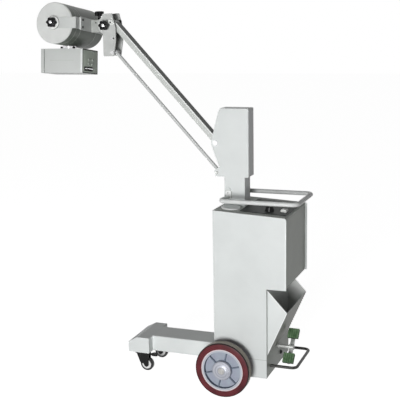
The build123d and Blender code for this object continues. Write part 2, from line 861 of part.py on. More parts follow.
# carrier: a block with two ears that tilt between the bracket's cheeks, bored for the yoke's shaft
with BuildPart() as head_carrier:
    for side in (1, -1):
        with BuildSketch(side_plane(tilt_x, side * ear_out, tilt_z)):
            with BuildLine():
                Polyline(
                    (0, -ear_r),
                    (carrier_start, -roll_rise - carrier_h / 2),
                    (carrier_start + 1, -roll_rise - carrier_h / 2),
                    (carrier_start + 1, -roll_rise + carrier_h / 2),
                    (carrier_start, -roll_rise + carrier_h / 2),
                    (0, ear_r),
                    close=True,
                )
            make_face()
            Circle(ear_r)
        extrude(amount=-side * ear_t)
    with BuildSketch(Plane.YZ.offset(carrier_back_x)) as block:
        with Locations((0, roll_z)):
            RectangleRounded(2 * ear_out, carrier_h, 4)
    extrude(amount=carrier_front_x - carrier_back_x)
    with BuildSketch(side_plane(tilt_x, 0, tilt_z)):
        Circle(tilt_bolt_r)
    extrude(amount=brk_half, both=True, mode=Mode.SUBTRACT)
    with BuildSketch(Plane.YZ.offset(carrier_front_x)):
        with Locations((0, roll_z)):
            Circle(roll_r + run_gap)
    extrude(amount=carrier_back_x - carrier_front_x, mode=Mode.SUBTRACT)
head_carrier.part.label = "head_carrier"
export_step(head_carrier.part, "parts/head_carrier.step")

with BuildPart() as tilt_knob:
    with BuildSketch(side_plane(tilt_x, -brk_half - side_gap, tilt_z)):
        Circle(tilt_bolt_r)
    extrude(amount=2 * brk_half + side_gap + knob_stem)
    with BuildSketch(side_plane(tilt_x, brk_half + side_gap, tilt_z)):
        Circle(1.6 * tilt_bolt_r)
    extrude(amount=knob_stem - side_gap)
    with BuildSketch(side_plane(tilt_x, brk_half + knob_stem, tilt_z)):
        knob_outline()
    extrude(amount=knob_h)
    with BuildSketch(side_plane(tilt_x, -brk_half - side_gap, tilt_z, -1)):
        RegularPolygon(nut_r, 6)
    extrude(amount=tilt_bolt_r + 2)
tilt_knob.part.label = "tilt_knob"
export_step(tilt_knob.part, "parts/tilt_knob.step")

roll_knob_x = carrier_front_x - knob_r - 5
roll_knob_z = roll_z + carrier_h / 2
with BuildPart() as roll_knob:
    with BuildSketch(Plane.XY.offset(roll_knob_z)):
        with Locations((roll_knob_x, 0)):
            Circle(1.4 * tilt_bolt_r)
    extrude(amount=knob_stem)
    with BuildSketch(Plane.XY.offset(roll_knob_z + knob_stem)):
        with Locations((roll_knob_x, 0)):
            knob_outline()
    extrude(amount=knob_h)
roll_knob.part.label = "roll_knob"
export_step(roll_knob.part, "parts/roll_knob.step")

# yoke: a strap bent round the tube, a plate behind it and the shaft that the head rolls on
with BuildPart() as yoke:
    with BuildSketch(Plane.YZ.offset(web_x)):
        with Locations((0, roll_z)):
            Rectangle(2 * (strap_in + yoke_t), yoke_h)
    extrude(amount=yoke_web_t)
    with BuildSketch(Plane.YZ.offset(plate_x)):
        with Locations((0, roll_z)):
            RectangleRounded(2 * yoke_plate_half, yoke_plate_h, 5)
    extrude(amount=yoke_plate_t)
    for side in (1, -1):
        with BuildSketch(side_plane(0, side * strap_in, roll_z)):
            with Locations(((web_x + tube_x) / 2, 0)):
                Rectangle(tube_x - web_x, yoke_h)
            with Locations((tube_x, 0)):
                Circle(yoke_h / 2)
                Circle(stub_r + run_gap, mode=Mode.SUBTRACT)
        extrude(amount=side * yoke_t)
    with BuildSketch(Plane.YZ.offset(plate_x)):
        with Locations((0, roll_z)):
            Circle(roll_r)
    extrude(amount=-roll_grip)
    yoke.part = yoke.part.rotate(roll_axis, roll_rest)
yoke.part.label = "yoke"
export_step(yoke.part, "parts/yoke.step")

# tube head: a drawn housing with a round far end, a bolted near cap and the ring of the port
with BuildPart() as tube_housing:
    with BuildSketch(Plane.XY.offset(roll_z)) as section:
        with BuildLine():
            Polyline(
                (tube_x, tube_half - cap_t),
                (tube_x + tube_r, tube_half - cap_t),
                (tube_x + tube_r, -tube_half),
                (tube_x + stub_r, -tube_half),
                (tube_x + stub_r, -strap_in - yoke_t - strap_gap),
                (tube_x, -strap_in - yoke_t - strap_gap),
                close=True,
            )
        make_face()
        fillet(section.vertices().group_by(Axis.X)[-1].sort_by(Axis.Y)[0], tube_edge_r)
    revolve(axis=Axis((tube_x, 0, roll_z), (0, 1, 0)))
    with BuildSketch(Plane.XY.offset(roll_z - tube_r + port_sink)):
        with Locations((port_x, 0)):
            Circle(port_r + run_gap)
    extrude(amount=-2 * port_sink, mode=Mode.SUBTRACT)
    tube_housing.part = tube_housing.part.rotate(roll_axis, roll_rest)
tube_housing.part.label = "tube_housing"
export_step(tube_housing.part, "parts/tube_housing.step")

with BuildPart() as tube_cap:
    with BuildSketch(Plane.XY.offset(roll_z)) as section:
        with BuildLine():
            Polyline(
                (tube_x, tube_half - cap_t),
                (tube_x + tube_r, tube_half - cap_t),
                (tube_x + tube_r, tube_half),
                (tube_x + stub_r, tube_half),
                (tube_x + stub_r, strap_in + yoke_t + strap_gap),
                (tube_x, strap_in + yoke_t + strap_gap),
                close=True,
            )
        make_face()
        chamfer(section.vertices().group_by(Axis.X)[-1].sort_by(Axis.Y)[-1], cap_edge_r)
    revolve(axis=Axis((tube_x, 0, roll_z), (0, 1, 0)))
    tube_cap.part = tube_cap.part.rotate(roll_axis, roll_rest)
tube_cap.part.label = "tube_cap"
export_step(tube_cap.part, "parts/tube_cap.step")

for name, side in (("yoke_knob_left", 1), ("yoke_knob_right", -1)):
    knob_y = strap_in + yoke_t + strap_gap
    with BuildPart() as yoke_knob:
        with BuildSketch(side_plane(tube_x, side * knob_y, roll_z, side)):
            Circle(knob_disc_r)
        extrude(amount=knob_disc_t)
        with BuildSketch(side_plane(tube_x, side * knob_y, roll_z, side)):
            Circle(1.6 * stub_r)
        extrude(amount=0.4 * knob_stem)
        with BuildSketch(side_plane(tube_x, side * (knob_y + 0.4 * knob_stem), roll_z, side)):
            knob_outline()
        extrude(amount=knob_h)
        yoke_knob.part = yoke_knob.part.rotate(roll_axis, roll_rest)
    yoke_knob.part.label = name
    export_step(yoke_knob.part, f"parts/{name}.step")

with BuildPart() as tube_port:
    with BuildSketch(Plane.XY.offset(port_bottom_z)):
        with Locations((port_x, 0)):
            Circle(port_r)
    extrude(amount=roll_z - tube_r + port_sink - port_bottom_z)
    with BuildSketch(Plane.XY.offset(port_bottom_z)):
        with Locations((port_x, 0)):
            Circle(port_flange_r)
    extrude(amount=port_flange_t)
    with BuildSketch(Plane.XY.offset(port_bottom_z)):
        with Locations((port_x, 0)):
            Circle(port_bore_r)
    extrude(amount=roll_z - port_bottom_z, mode=Mode.SUBTRACT)
    tube_port.part = tube_port.part.rotate(roll_axis, roll_rest)
tube_port.part.label = "tube_port"
export_step(tube_port.part, "parts/tube_port.step")

# collimator: a box with a front strip, two dials behind and a spigot that turns in the port
with BuildPart() as collimator:
    with BuildSketch(Plane.XY.offset(col_bottom)):
        with Locations((port_x, 0)):
            RectangleRounded(col_len, col_wide, 4)
    extrude(amount=col_high)
    with BuildSketch(Plane.XY.offset(col_bottom)):
        with Locations((port_x + col_len / 2 - col_strip, 0)):
            Rectangle(col_strip_cut, col_wide)
            Rectangle(col_strip_cut, col_wide - 2 * col_strip_cut, mode=Mode.SUBTRACT)
    extrude(amount=col_high, mode=Mode.SUBTRACT)
    with BuildSketch(Plane.XY.offset(col_top)):
        with Locations((port_x, 0)):
            Circle(port_bore_r - run_gap)
    extrude(amount=col_neck_h)
    with BuildSketch(Plane.YZ.offset(port_x - col_len / 2)):
        with Locations((dials_y, col_bottom + dials_z)):
            with GridLocations(dials_apart, 1, 2, 1):
                Circle(dial_small_r)
    extrude(amount=-dial_small_h)
    collimator.part = collimator.part.rotate(roll_axis, roll_rest)
collimator.part.label = "collimator"
export_step(collimator.part, "parts/collimator.step")

print("head pivot", round(head_x, 1), round(head_z, 1), "tilt pivot", round(tilt_x, 1), round(tilt_z, 1))
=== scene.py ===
"""Looks of a portable x-ray machine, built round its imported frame.

Sizes are in millimetres in the frame of the solids: +X forward, +Y the machine's left, +Z up.
"""

import logging
import math
from dataclasses import dataclass, field
from enum import Enum
from typing import Sequence

import bmesh
import bpy
from mathutils import Matrix, Vector


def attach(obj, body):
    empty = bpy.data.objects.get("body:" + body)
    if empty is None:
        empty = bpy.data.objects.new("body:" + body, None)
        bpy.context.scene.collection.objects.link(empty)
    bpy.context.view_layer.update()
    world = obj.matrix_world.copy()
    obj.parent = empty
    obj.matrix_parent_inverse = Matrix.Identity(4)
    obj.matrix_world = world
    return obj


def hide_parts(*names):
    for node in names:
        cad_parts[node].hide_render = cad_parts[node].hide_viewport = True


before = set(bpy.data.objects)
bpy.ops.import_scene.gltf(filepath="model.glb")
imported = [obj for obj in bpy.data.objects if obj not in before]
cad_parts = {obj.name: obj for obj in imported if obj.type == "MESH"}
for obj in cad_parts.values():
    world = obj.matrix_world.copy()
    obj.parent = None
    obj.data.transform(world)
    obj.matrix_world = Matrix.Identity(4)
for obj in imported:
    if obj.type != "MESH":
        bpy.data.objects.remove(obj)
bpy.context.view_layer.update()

LOG = logging.getLogger("xray_machine")
MM = 0.001
SHARP_EDGE_DEGREES = 32.0

Colour = tuple[float, float, float, float]
Point = tuple[float, float, float]
Pair = tuple[float, float]
Tree = bpy.types.NodeTree
Node = bpy.types.Node
Socket = bpy.types.NodeSocket
Mesh = bpy.types.Mesh
BMesh = bmesh.types.BMesh
Piece = bpy.types.Object

ACROSS: Point = (0.0, 1.0, 0.0)
REARWARDS: Point = (-1.0, 0.0, 0.0)
UPWARDS: Point = (0.0, 0.0, 1.0)


class Body(Enum):
    """The rigid bodies of the frame that pieces ride on."""

    CHASSIS = "chassis"
    WHEEL_LEFT = "wheel_left"
    WHEEL_RIGHT = "wheel_right"
    CASTER_LEFT = "caster_left"
    CASTER_RIGHT = "caster_right"
    ARM = "arm"
    ROD = "rod"
    BRACKET = "bracket"
    CARRIER = "carrier"
    YOKE = "yoke_frame"
    TUBE = "tube_head"
    LIMITER = "beam_limiter"


class Side(Enum):
    """The two sides of the machine; the value is the sign of Y."""

    LEFT = 1
    RIGHT = -1

    def out(self) -> Point:
        """Direction that points away from the machine on this side."""
        return (0.0, float(self.value), 0.0)

    def tag(self) -> str:
        """The side's word in the names of pieces and nodes."""
        return self.name.lower()


def linear(hex_colour: str) -> Colour:
    """Turns an sRGB hex colour into linear light.

    Args:
        hex_colour: Six hex digits after a hash.

    Returns:
        Red, green, blue and an alpha of 1.
    """
    parts = [int(hex_colour[i : i + 2], 16) / 255 for i in (1, 3, 5)]
    light = [p / 12.92 if p <= 0.04045 else ((p + 0.055) / 1.055) ** 2.4 for p in parts]
    return (light[0], light[1], light[2], 1.0)


def add_node(tree: Tree, kind: str, settings: dict | None = None, inputs: dict | None = None) -> Node:
    """Adds a node with its settings, its socket values and its links.

    Args:
        tree: Node tree of a material, the world or a geometry group.
        kind: Blender's type name of the node.
        settings: Properties of the node itself.
        inputs: Socket name or number, to a value or to the output socket that feeds it.

    Returns:
        The new node.
    """
    node = tree.nodes.new(kind)
    for name, value in (settings or {}).items():
        setattr(node, name, value)
    for key, value in (inputs or {}).items():
        if isinstance(value, Socket):
            tree.links.new(value, node.inputs[key])
        else:
            node.inputs[key].default_value = value
    return node


def per_mm(size: float) -> float:
    """Texture scale that gives a pattern this many millimetres across on Object coordinates."""
    return 1.0 / (size * MM)


@dataclass(frozen=True)
class Finish:
    """What every finish shares. A subclass draws the pattern of its own material."""

    name: str
    colour: str
    shade: str
    roughness: float = 0.5
    metallic: float = 0.0
    drift_mm: float = 180.0
    drift_span: Pair = (0.3, 0.7)
    grain_mm: float = 6.0
    grain_depth_mm: float = 0.06
    grain_strength: float = 0.4
    gloss_swing: float = 0.06
    specular: float = 0.5

    def material(self) -> bpy.types.Material:
        """Builds the material the first time it is asked for.

        Returns:
            The Blender material of this finish.
        """
        found = bpy.data.materials.get(self.name)
        if found:
            return found
        made = bpy.data.materials.new(self.name)
        made.use_nodes = True
        tree = made.node_tree
        tree.nodes.clear()
        coords = add_node(tree, "ShaderNodeTexCoord").outputs["Object"]
        shader = add_node(tree, "ShaderNodeBsdfPrincipled", inputs={
            "Metallic": self.metallic, "Specular IOR Level": self.specular})
        self.draw(tree, coords, shader)
        add_node(tree, "ShaderNodeOutputMaterial", inputs={"Surface": shader.outputs["BSDF"]})
        return made

    def draw(self, tree: Tree, coords: Socket, shader: Node) -> None:
        """Colour that drifts a little, uneven gloss and a fine grain.

        Args:
            tree: The material's tree.
            coords: Object coordinates in metres.
            shader: The Principled shader to feed.
        """
        tree.links.new(self.base_colour(tree, coords), shader.inputs["Base Color"])
        uneven = add_node(tree, "ShaderNodeTexNoise", inputs={
            "Vector": coords, "Scale": per_mm(self.grain_mm * 3), "Detail": 3.0})
        gloss = add_node(tree, "ShaderNodeMapRange", inputs={
            "Value": uneven.outputs["Fac"],
            "To Min": self.roughness - self.gloss_swing,
            "To Max": self.roughness + self.gloss_swing})
        tree.links.new(gloss.outputs["Result"], shader.inputs["Roughness"])
        tree.links.new(self.relief(tree, coords), shader.inputs["Normal"])

    def base_colour(self, tree: Tree, coords: Socket) -> Socket:
        """Mixes the finish's two colours by a slow noise.

        Args:
            tree: The material's tree.
            coords: Object coordinates in metres.

        Returns:
            The colour socket.
        """
        drift = add_node(tree, "ShaderNodeTexNoise", inputs={
            "Vector": coords, "Scale": per_mm(self.drift_mm), "Detail": 4.0})
        low, high = self.drift_span
        share = add_node(tree, "ShaderNodeMapRange", inputs={
            "Value": drift.outputs["Fac"], "From Min": low, "From Max": high})
        return self.blend(tree, share.outputs["Result"], linear(self.colour), linear(self.shade))

    def relief(self, tree: Tree, coords: Socket) -> Socket:
        """Bump of the surface's grain.

        Args:
            tree: The material's tree.
            coords: Object coordinates in metres.

        Returns:
            The normal socket.
        """
        grain = add_node(tree, "ShaderNodeTexNoise", inputs={
            "Vector": coords, "Scale": per_mm(self.grain_mm), "Detail": 2.0})
        bump = add_node(tree, "ShaderNodeBump", inputs={
            "Strength": self.grain_strength,
            "Distance": self.grain_depth_mm * MM,
            "Height": grain.outputs["Fac"]})
        return bump.outputs["Normal"]

    @staticmethod
    def blend(tree: Tree, share: Socket, first: Colour | Socket, second: Colour | Socket) -> Socket:
        """Mixes two colours, each a value or a socket, by a share from 0 to 1."""
        mixed = add_node(tree, "ShaderNodeMix", {"data_type": "RGBA"}, {0: share, 6: first, 7: second})
        return mixed.outputs[2]

    @staticmethod
    def radius_from(tree: Tree, coords: Socket, x: float, z: float) -> Socket:
        """Distance in metres from a cross axle through x, z."""
        flat = add_node(tree, "ShaderNodeVectorMath", {"operation": "MULTIPLY_ADD"}, {
            0: coords, 1: (1.0, 0.0, 1.0), 2: (-x * MM, 0.0, -z * MM)})
        length = add_node(tree, "ShaderNodeVectorMath", {"operation": "LENGTH"}, {0: flat.outputs[0]})
        return length.outputs["Value"]

    @staticmethod
    def height_over(tree: Tree, coords: Socket, origin: Point, way: Vector) -> Socket:
        """Signed distance in metres from a plane through origin, along way."""
        off = add_node(tree, "ShaderNodeVectorMath", {"operation": "SUBTRACT"}, {
            0: coords, 1: Vector(origin) * MM})
        dot = add_node(tree, "ShaderNodeVectorMath", {"operation": "DOT_PRODUCT"}, {
            0: off.outputs[0], 1: way})
        return dot.outputs["Value"]

    @staticmethod
    def within_half(tree: Tree, coords: Socket, half: float) -> Socket:
        """1 nearer than half to the machine's middle plane, 0 beyond it."""
        split = add_node(tree, "ShaderNodeSeparateXYZ", inputs={"Vector": coords})
        away = add_node(tree, "ShaderNodeMath", {"operation": "ABSOLUTE"}, {0: split.outputs["Y"]})
        near = add_node(tree, "ShaderNodeMath", {"operation": "LESS_THAN"}, {
            0: away.outputs[0], 1: half * MM})
        return near.outputs[0]


@dataclass(frozen=True)
class TurnedFinish(Finish):
    """A surface with rings round the axle: a lathe's marks, or a moulded tread's ridges."""

    axle: Pair = (0.0, 150.0)
    ring_mm: float = 5.0
    ring_depth_mm: float = 0.2
    ring_share: float = 0.4
    ring_strength: float = 0.6

    def ring_wave(self, tree: Tree, coords: Socket) -> Socket:
        """A wave from 0 to 1 over the distance from the axle."""
        radius = self.radius_from(tree, coords, *self.axle)
        turns = add_node(tree, "ShaderNodeMath", {"operation": "MULTIPLY"}, {
            0: radius, 1: 2 * math.pi * per_mm(self.ring_mm)})
        wave = add_node(tree, "ShaderNodeMath", {"operation": "SINE"}, {0: turns.outputs[0]})
        lifted = add_node(tree, "ShaderNodeMapRange", inputs={"Value": wave.outputs[0], "From Min": -1.0})
        return lifted.outputs["Result"]

    def base_colour(self, tree: Tree, coords: Socket) -> Socket:
        """The drifting colour, darker on the crest of each ring."""
        ground = Finish.base_colour(self, tree, coords)
        weak = add_node(tree, "ShaderNodeMath", {"operation": "MULTIPLY"}, {
            0: self.ring_wave(tree, coords), 1: self.ring_share})
        return self.blend(tree, weak.outputs[0], ground, linear(self.shade))

    def relief(self, tree: Tree, coords: Socket) -> Socket:
        """Bump of the rings."""
        bump = add_node(tree, "ShaderNodeBump", inputs={
            "Strength": self.ring_strength,
            "Distance": self.ring_depth_mm * MM,
            "Height": self.ring_wave(tree, coords)})
        return bump.outputs["Normal"]


@dataclass(frozen=True)
class ZonedWheel(Finish):
    """A moulded wheel whose colour changes at given radii, from the hub outwards."""

    axle: Pair = (0.0, 150.0)
    zones: tuple[tuple[float, str], ...] = ()

    def base_colour(self, tree: Tree, coords: Socket) -> Socket:
        """The centre's drifting colour, then each zone's own beyond its radius."""
        colour = Finish.base_colour(self, tree, coords)
        radius = self.radius_from(tree, coords, *self.axle)
        for start, shade in self.zones:
            beyond = add_node(tree, "ShaderNodeMath", {"operation": "GREATER_THAN"}, {
                0: radius, 1: start * MM})
            colour = self.blend(tree, beyond.outputs[0], colour, linear(shade))
        return colour


@dataclass(frozen=True)
class MouldedTread(TurnedFinish):
    """A cast tyre: rings on its flank, painted shade on its rounded shoulder and a dull running surface."""

    shoulder_r: float = 141.0
    shoulder_w: float = 6.0
    # dark colour of the rounded shoulder: painted shade
    shoulder_shade: str = "#1C090B"
    flank_y: float = 326.0
    running: str = "#A39D90"

    def base_colour(self, tree: Tree, coords: Socket) -> Socket:
        """The ringed colour up to the shoulder, then a darker one as painted shade, then the worn running
        surface.
        """
        flank = TurnedFinish.base_colour(self, tree, coords)
        radius = self.radius_from(tree, coords, *self.axle)
        inner, outer = self.shoulder_r * MM, (self.shoulder_r + self.shoulder_w) * MM
        edge = add_node(tree, "ShaderNodeMapRange", inputs={
            "Value": radius, "From Min": inner, "From Max": outer})
        edged = self.blend(tree, edge.outputs["Result"], flank, linear(self.shoulder_shade))
        within = self.within_half(tree, coords, self.flank_y)
        beyond = add_node(tree, "ShaderNodeMath", {"operation": "GREATER_THAN"}, {0: radius, 1: outer})
        both = add_node(tree, "ShaderNodeMath", {"operation": "MULTIPLY"}, {0: within, 1: beyond.outputs[0]})
        return self.blend(tree, both.outputs[0], edged, linear(self.running))


@dataclass(frozen=True)
class BracketShadedInside(Finish):
    """Coat on the outside of two cheeks, with painted shade between them in a belt of height."""

    inner_half: float = 42.3
    dark_from: float = 1845.0
    dark_to: float = 1900.0
    pale_from: float = 1968.0
    pale_to: float = 1984.0
    # colour of the painted shade between the cheeks
    inside: str = "#3E413E"

    def base_colour(self, tree: Tree, coords: Socket) -> Socket:
        """The coat, and the painted shade inside in a belt of height that fades in and out."""
        coat = Finish.base_colour(self, tree, coords)
        within = self.within_half(tree, coords, self.inner_half)
        split = add_node(tree, "ShaderNodeSeparateXYZ", inputs={"Vector": coords})
        rise = add_node(tree, "ShaderNodeMapRange", inputs={
            "Value": split.outputs["Z"], "From Min": self.dark_from * MM, "From Max": self.dark_to * MM})
        fall = add_node(tree, "ShaderNodeMapRange", inputs={
            "Value": split.outputs["Z"], "From Min": self.pale_to * MM, "From Max": self.pale_from * MM})
        belt = add_node(tree, "ShaderNodeMath", {"operation": "MINIMUM"}, {
            0: rise.outputs["Result"], 1: fall.outputs["Result"]})
        both = add_node(tree, "ShaderNodeMath", {"operation": "MULTIPLY"}, {0: within, 1: belt.outputs[0]})
        return self.blend(tree, both.outputs[0], coat, linear(self.inside))


@dataclass(frozen=True)
class FoldedBin(Finish):
    """A bin of folded sheet: painted shade on the sloped outside, a paler coat everywhere else."""

    origin: Point = (-214.0, 0.0, 213.0)
    way: Point = (-244.0, 0.0, -108.0)
    skin_mm: float = 0.7
    # colour of the painted shade on the sloped outside
    painted_shade_outside: str = "#666860"

    def base_colour(self, tree: Tree, coords: Socket) -> Socket:
        """The pale coat, and the painted shade on the sloped skin."""
        inside = Finish.base_colour(self, tree, coords)
        out = self.height_over(tree, coords, self.origin, Vector(self.way).normalized())
        skin = add_node(tree, "ShaderNodeMath", {"operation": "GREATER_THAN"}, {
            0: out, 1: -self.skin_mm * MM})
        return self.blend(tree, skin.outputs[0], inside, linear(self.painted_shade_outside))


@dataclass(frozen=True)
class LayeredRubber(Finish):
    """A rubber pad on a black base, with painted shade in its grooves and down its sides."""

    origin: Point = (-292.0, 0.0, 197.0)
    way: Point = (0.0, 1.0, 1.0)
    base_top: float = 10.0
    # below this height the darker green is painted shade
    groove_top: float = 25.0
    base: str = "#141614"

    def base_colour(self, tree: Tree, coords: Socket) -> Socket:
        """Black base, then a darker green as painted shade up to the groove's top, then its full colour."""
        height = self.height_over(tree, coords, self.origin, Vector(self.way).normalized())
        in_top = add_node(tree, "ShaderNodeMath", {"operation": "GREATER_THAN"}, {
            0: height, 1: self.groove_top * MM})
        over_base = add_node(tree, "ShaderNodeMath", {"operation": "GREATER_THAN"}, {
            0: height, 1: self.base_top * MM})
        drift = Finish.base_colour(self, tree, coords)
        grooved = self.blend(tree, in_top.outputs[0], linear(self.shade), drift)
        return self.blend(tree, over_base.outputs[0], linear(self.base), grooved)


@dataclass(frozen=True)
class BrushedMetal(Finish):
    """Metal with the streaks of a belt or a draw die along X."""

    stretch: Point = (0.04, 1.0, 1.0)

    def base_colour(self, tree: Tree, coords: Socket) -> Socket:
        """Streaks of the two colours."""
        drawn = add_node(tree, "ShaderNodeMapping", inputs={"Vector": coords, "Scale": self.stretch})
        streak = add_node(tree, "ShaderNodeTexNoise", inputs={
            "Vector": drawn.outputs["Vector"], "Scale": per_mm(self.grain_mm), "Detail": 3.0})
        return self.blend(tree, streak.outputs["Fac"], linear(self.colour), linear(self.shade))


# Powder-coated sheet steel: sprayed and baked, so a satin, faintly pebbled light grey.
# The pebble is near 1 mm and is drawn at 6 mm, or it wouldn't show.
LIGHT_COAT = Finish("powder_coated_steel_light", "#DBDFDE", "#D3D7D6", roughness=0.42)
# The same coat on the cast and folded parts of the head, a shade warmer and duller, and darker as painted
# shade.
HEAD_COAT_SHADED = Finish("powder_coated_steel_head", "#CFD2D0", "#C8CBC9", roughness=0.45)
# The same coat on the spun end caps, which face the light more squarely and come out paler.
CAP_COAT = Finish("powder_coated_spun_cap", "#DDDFDD", "#D4D6D4", roughness=0.45, drift_mm=70.0)
# The same coat on the low base beams, painted paler: painted light for the lamp's weaker light low down.
BASE_COAT_PAINTED_LIGHT = Finish("powder_coated_steel_base", "#E9EDEC", "#E1E5E4", roughness=0.42)
# Inside of the bin: the pale coat again; the sloped outside is painted the darker grey of its shade.
BIN_COAT_AND_SHADE = FoldedBin("powder_coated_bin", "#E2E4E2", "#D8DAD8", roughness=0.5)
# Bright, shiny strips along the sheets' edges: painted highlight where their rounded edges catch the light.
# The deck cover and the lugs' faces take it as a plain pale coat.
PALE_COAT_AND_HIGHLIGHT = Finish("powder_coated_fold_bright", "#F5F7F6", "#EEF0EF", roughness=0.3)
# The same coat in a darker grey: on the frame's inner sheets it is painted shade on their rear faces; small
# grey parts share it.
GREY_COAT_AND_SHADE = Finish("powder_coated_steel_grey", "#A2A8A0", "#969C94", roughness=0.45)
# Cast carrier under the same grey, which here is painted shade from the knob and the yoke over it: blotchy,
# because castings are filled before they are sprayed.
CAST_COAT_SHADED = Finish(
    "casting_grey_painted_shade", "#B1B4B0", "#9EA19D", roughness=0.5, drift_mm=30.0, grain_depth_mm=0.12)
# Bracket of folded plate: coated outside, painted shade inside.
BRACKET_COAT_SHADED = BracketShadedInside(
    "powder_coated_bracket", "#C9CBC9", "#BCBEBC", roughness=0.45, drift_mm=60.0)
# Hammer enamel over the drawn lead-lined tube housing, painted dark grey-green as the shade on its rear and
# upper side.
SHADED_ENAMEL = Finish(
    "baked_enamel_dark_green_grey", "#666D65", "#585F58", roughness=0.42, drift_mm=90.0, specular=0.35)
# The rolled seams of that housing, in a lighter grey.
SEAM_ENAMEL = Finish("baked_enamel_seam_lighter", "#A7ADA4", "#9BA198", roughness=0.4, drift_mm=60.0)
# Textured steel deck with a grey baked coat, dull and a little mottled.
DECK_COAT = Finish(
    "textured_coat_deck_grey", "#C9CDC8", "#AEB2AD", roughness=0.55, grain_mm=4.0, grain_depth_mm=0.1,
    specular=0.3)
# Anodised aluminium control plate: dark, slightly silky, brushed along the machine.
PANEL_PLATE = BrushedMetal(
    "anodised_aluminium_plate_dark", "#272C2A", "#1D2220", roughness=0.5, grain_mm=5.0, specular=0.14)
# Moulded ABS for covers and the rocker: smooth, off-white, soft gloss.
WHITE_ABS = Finish(
    "moulded_abs_white", "#F1F2F0", "#E6E8E5", roughness=0.35, drift_mm=40.0, grain_mm=3.0,
    grain_depth_mm=0.02)
# Phenolic star knobs: hard black moulding with a high gloss that shows white windows of light.
BLACK_PHENOLIC = Finish(
    "moulded_phenolic_black", "#070709", "#0D0D10", roughness=0.24, drift_mm=25.0, grain_mm=3.0,
    grain_depth_mm=0.02, specular=0.16)
# Black enamel on pressed caster forks and small screws: shiny, with a soft pebble.
BLACK_ENAMEL = Finish(
    "baked_enamel_black", "#0A0A0A", "#121212", roughness=0.28, drift_mm=60.0, specular=0.22)
# The same enamel on the guard, scuffed by shoes to a dark grey.
GUARD_ENAMEL = Finish(
    "baked_enamel_scuffed", "#2E2E2C", "#3C3C39", roughness=0.38, drift_mm=40.0, specular=0.35)
# Zinc-plated and polished steel: bright, cold, slightly cloudy.
BRIGHT_ZINC = Finish(
    "zinc_plated_steel_bright", "#E6E6E6", "#CFCFD2", roughness=0.22, metallic=1.0, drift_mm=20.0,
    grain_mm=2.0, grain_depth_mm=0.02)
# Dull zinc on the pedal's bar and shaft: grey, cloudy.
DULL_ZINC = Finish(
    "zinc_plated_steel_dull", "#C9CBC9", "#A6A8A6", roughness=0.4, metallic=0.4, drift_mm=25.0,
    grain_mm=2.0)
# The handle: the same coat on a heavier, smoother tube, paler where hands have polished it.
HANDLE_TUBE = Finish(
    "coated_bent_tube_handle", "#E4E6E5", "#D6D8D7", roughness=0.35, drift_mm=70.0, grain_mm=3.0,
    grain_depth_mm=0.03, specular=0.3)
# The rod: drawn tube under the head's coat, plain and satin.
ROD_TUBE = Finish(
    "coated_drawn_rod", "#CFD1D0", "#C2C4C3", roughness=0.35, drift_mm=90.0, grain_mm=3.0,
    grain_depth_mm=0.03)
# Extruded aluminium beam: the light paint over a smooth extrusion.
EXTRUDED_BEAM = Finish("extruded_aluminium_painted", "#CDD0CD", "#C5C8C5", roughness=0.4)
# Cast polyurethane tyre: red-brown, half gloss. Its moulded rings are finer and lower than the
# 8 mm and 0.5 mm that they are drawn at, or they wouldn't show.
RED_POLYURETHANE = MouldedTread(
    "cast_polyurethane_red_brown", "#7C3036", "#45131A", roughness=0.38, drift_mm=60.0, ring_mm=8.0,
    ring_depth_mm=0.5, ring_share=0.9, specular=0.22)
# Moulded nylon wheel centre: blue-grey web, a dark shadowed step under a paler turned rim.
WHEEL_NYLON = ZonedWheel(
    "moulded_nylon_blue_grey", "#9CA7B2", "#9497A8", roughness=0.4, drift_mm=40.0,
    zones=((97.6, "#46505E"), (101.0, "#B4B9C2"), (110.5, "#DACFD2")))
# The ribs of that moulding, painted dark all over as the shade on their sides.
RIB_NYLON = Finish("moulded_nylon_rib", "#667080", "#5A6474", roughness=0.4, drift_mm=20.0)
# Turned aluminium hub plate: bright lathe rings about 1 mm apart, drawn at 15 mm.
TURNED_HUB = TurnedFinish(
    "turned_aluminium_bright", "#D2D3DA", "#9497A1", roughness=0.35, metallic=0.35, ring_mm=15.0,
    ring_depth_mm=0.3, ring_share=0.85)
# Pressed hub cap: warm grey painted dome.
HUB_CAP = Finish("pressed_steel_cap_warm_grey", "#C2C1BF", "#A9A8A6", roughness=0.35, drift_mm=8.0)
# Caster wheels: black rubber tread round a near-white nylon centre.
CASTER_NYLON = ZonedWheel(
    "moulded_caster_wheel", "#F2F2F2", "#E4E4E4", roughness=0.35, drift_mm=30.0, axle=(534.0, 39.0),
    zones=((27.0, "#101010"),))
# Ribbed rubber pedal pads: green tops, painted shade in the grooves, black base.
GREEN_RUBBER = LayeredRubber(
    "moulded_rubber_green", "#7E9C79", "#42603F", roughness=0.6, drift_mm=30.0, grain_mm=3.0,
    specular=0.2)
# Black rubber stops and slots, matt; also the painted shadows on the bracket's cheeks.
BLACK_RUBBER_AND_SHADOW = Finish(
    "moulded_rubber_black", "#141514", "#1D1D1D", roughness=0.7, drift_mm=40.0, grain_mm=3.0,
    specular=0.2)
# Charcoal powder coat: on the beam's upper side partly its own colour, partly painted shade of that upward
# face; also small dark parts.
CHARCOAL_COAT_AND_SHADE = Finish(
    "powder_coated_strip_charcoal", "#454845", "#3B3E3B", roughness=0.5, drift_mm=80.0, specular=0.3)
# Grey-green instrument plate on the back of the light box: matt, printed field left blank.
INSTRUMENT_PLATE = Finish(
    "anodised_instrument_plate", "#B9C2B6", "#ACB5A9", roughness=0.5, drift_mm=50.0)


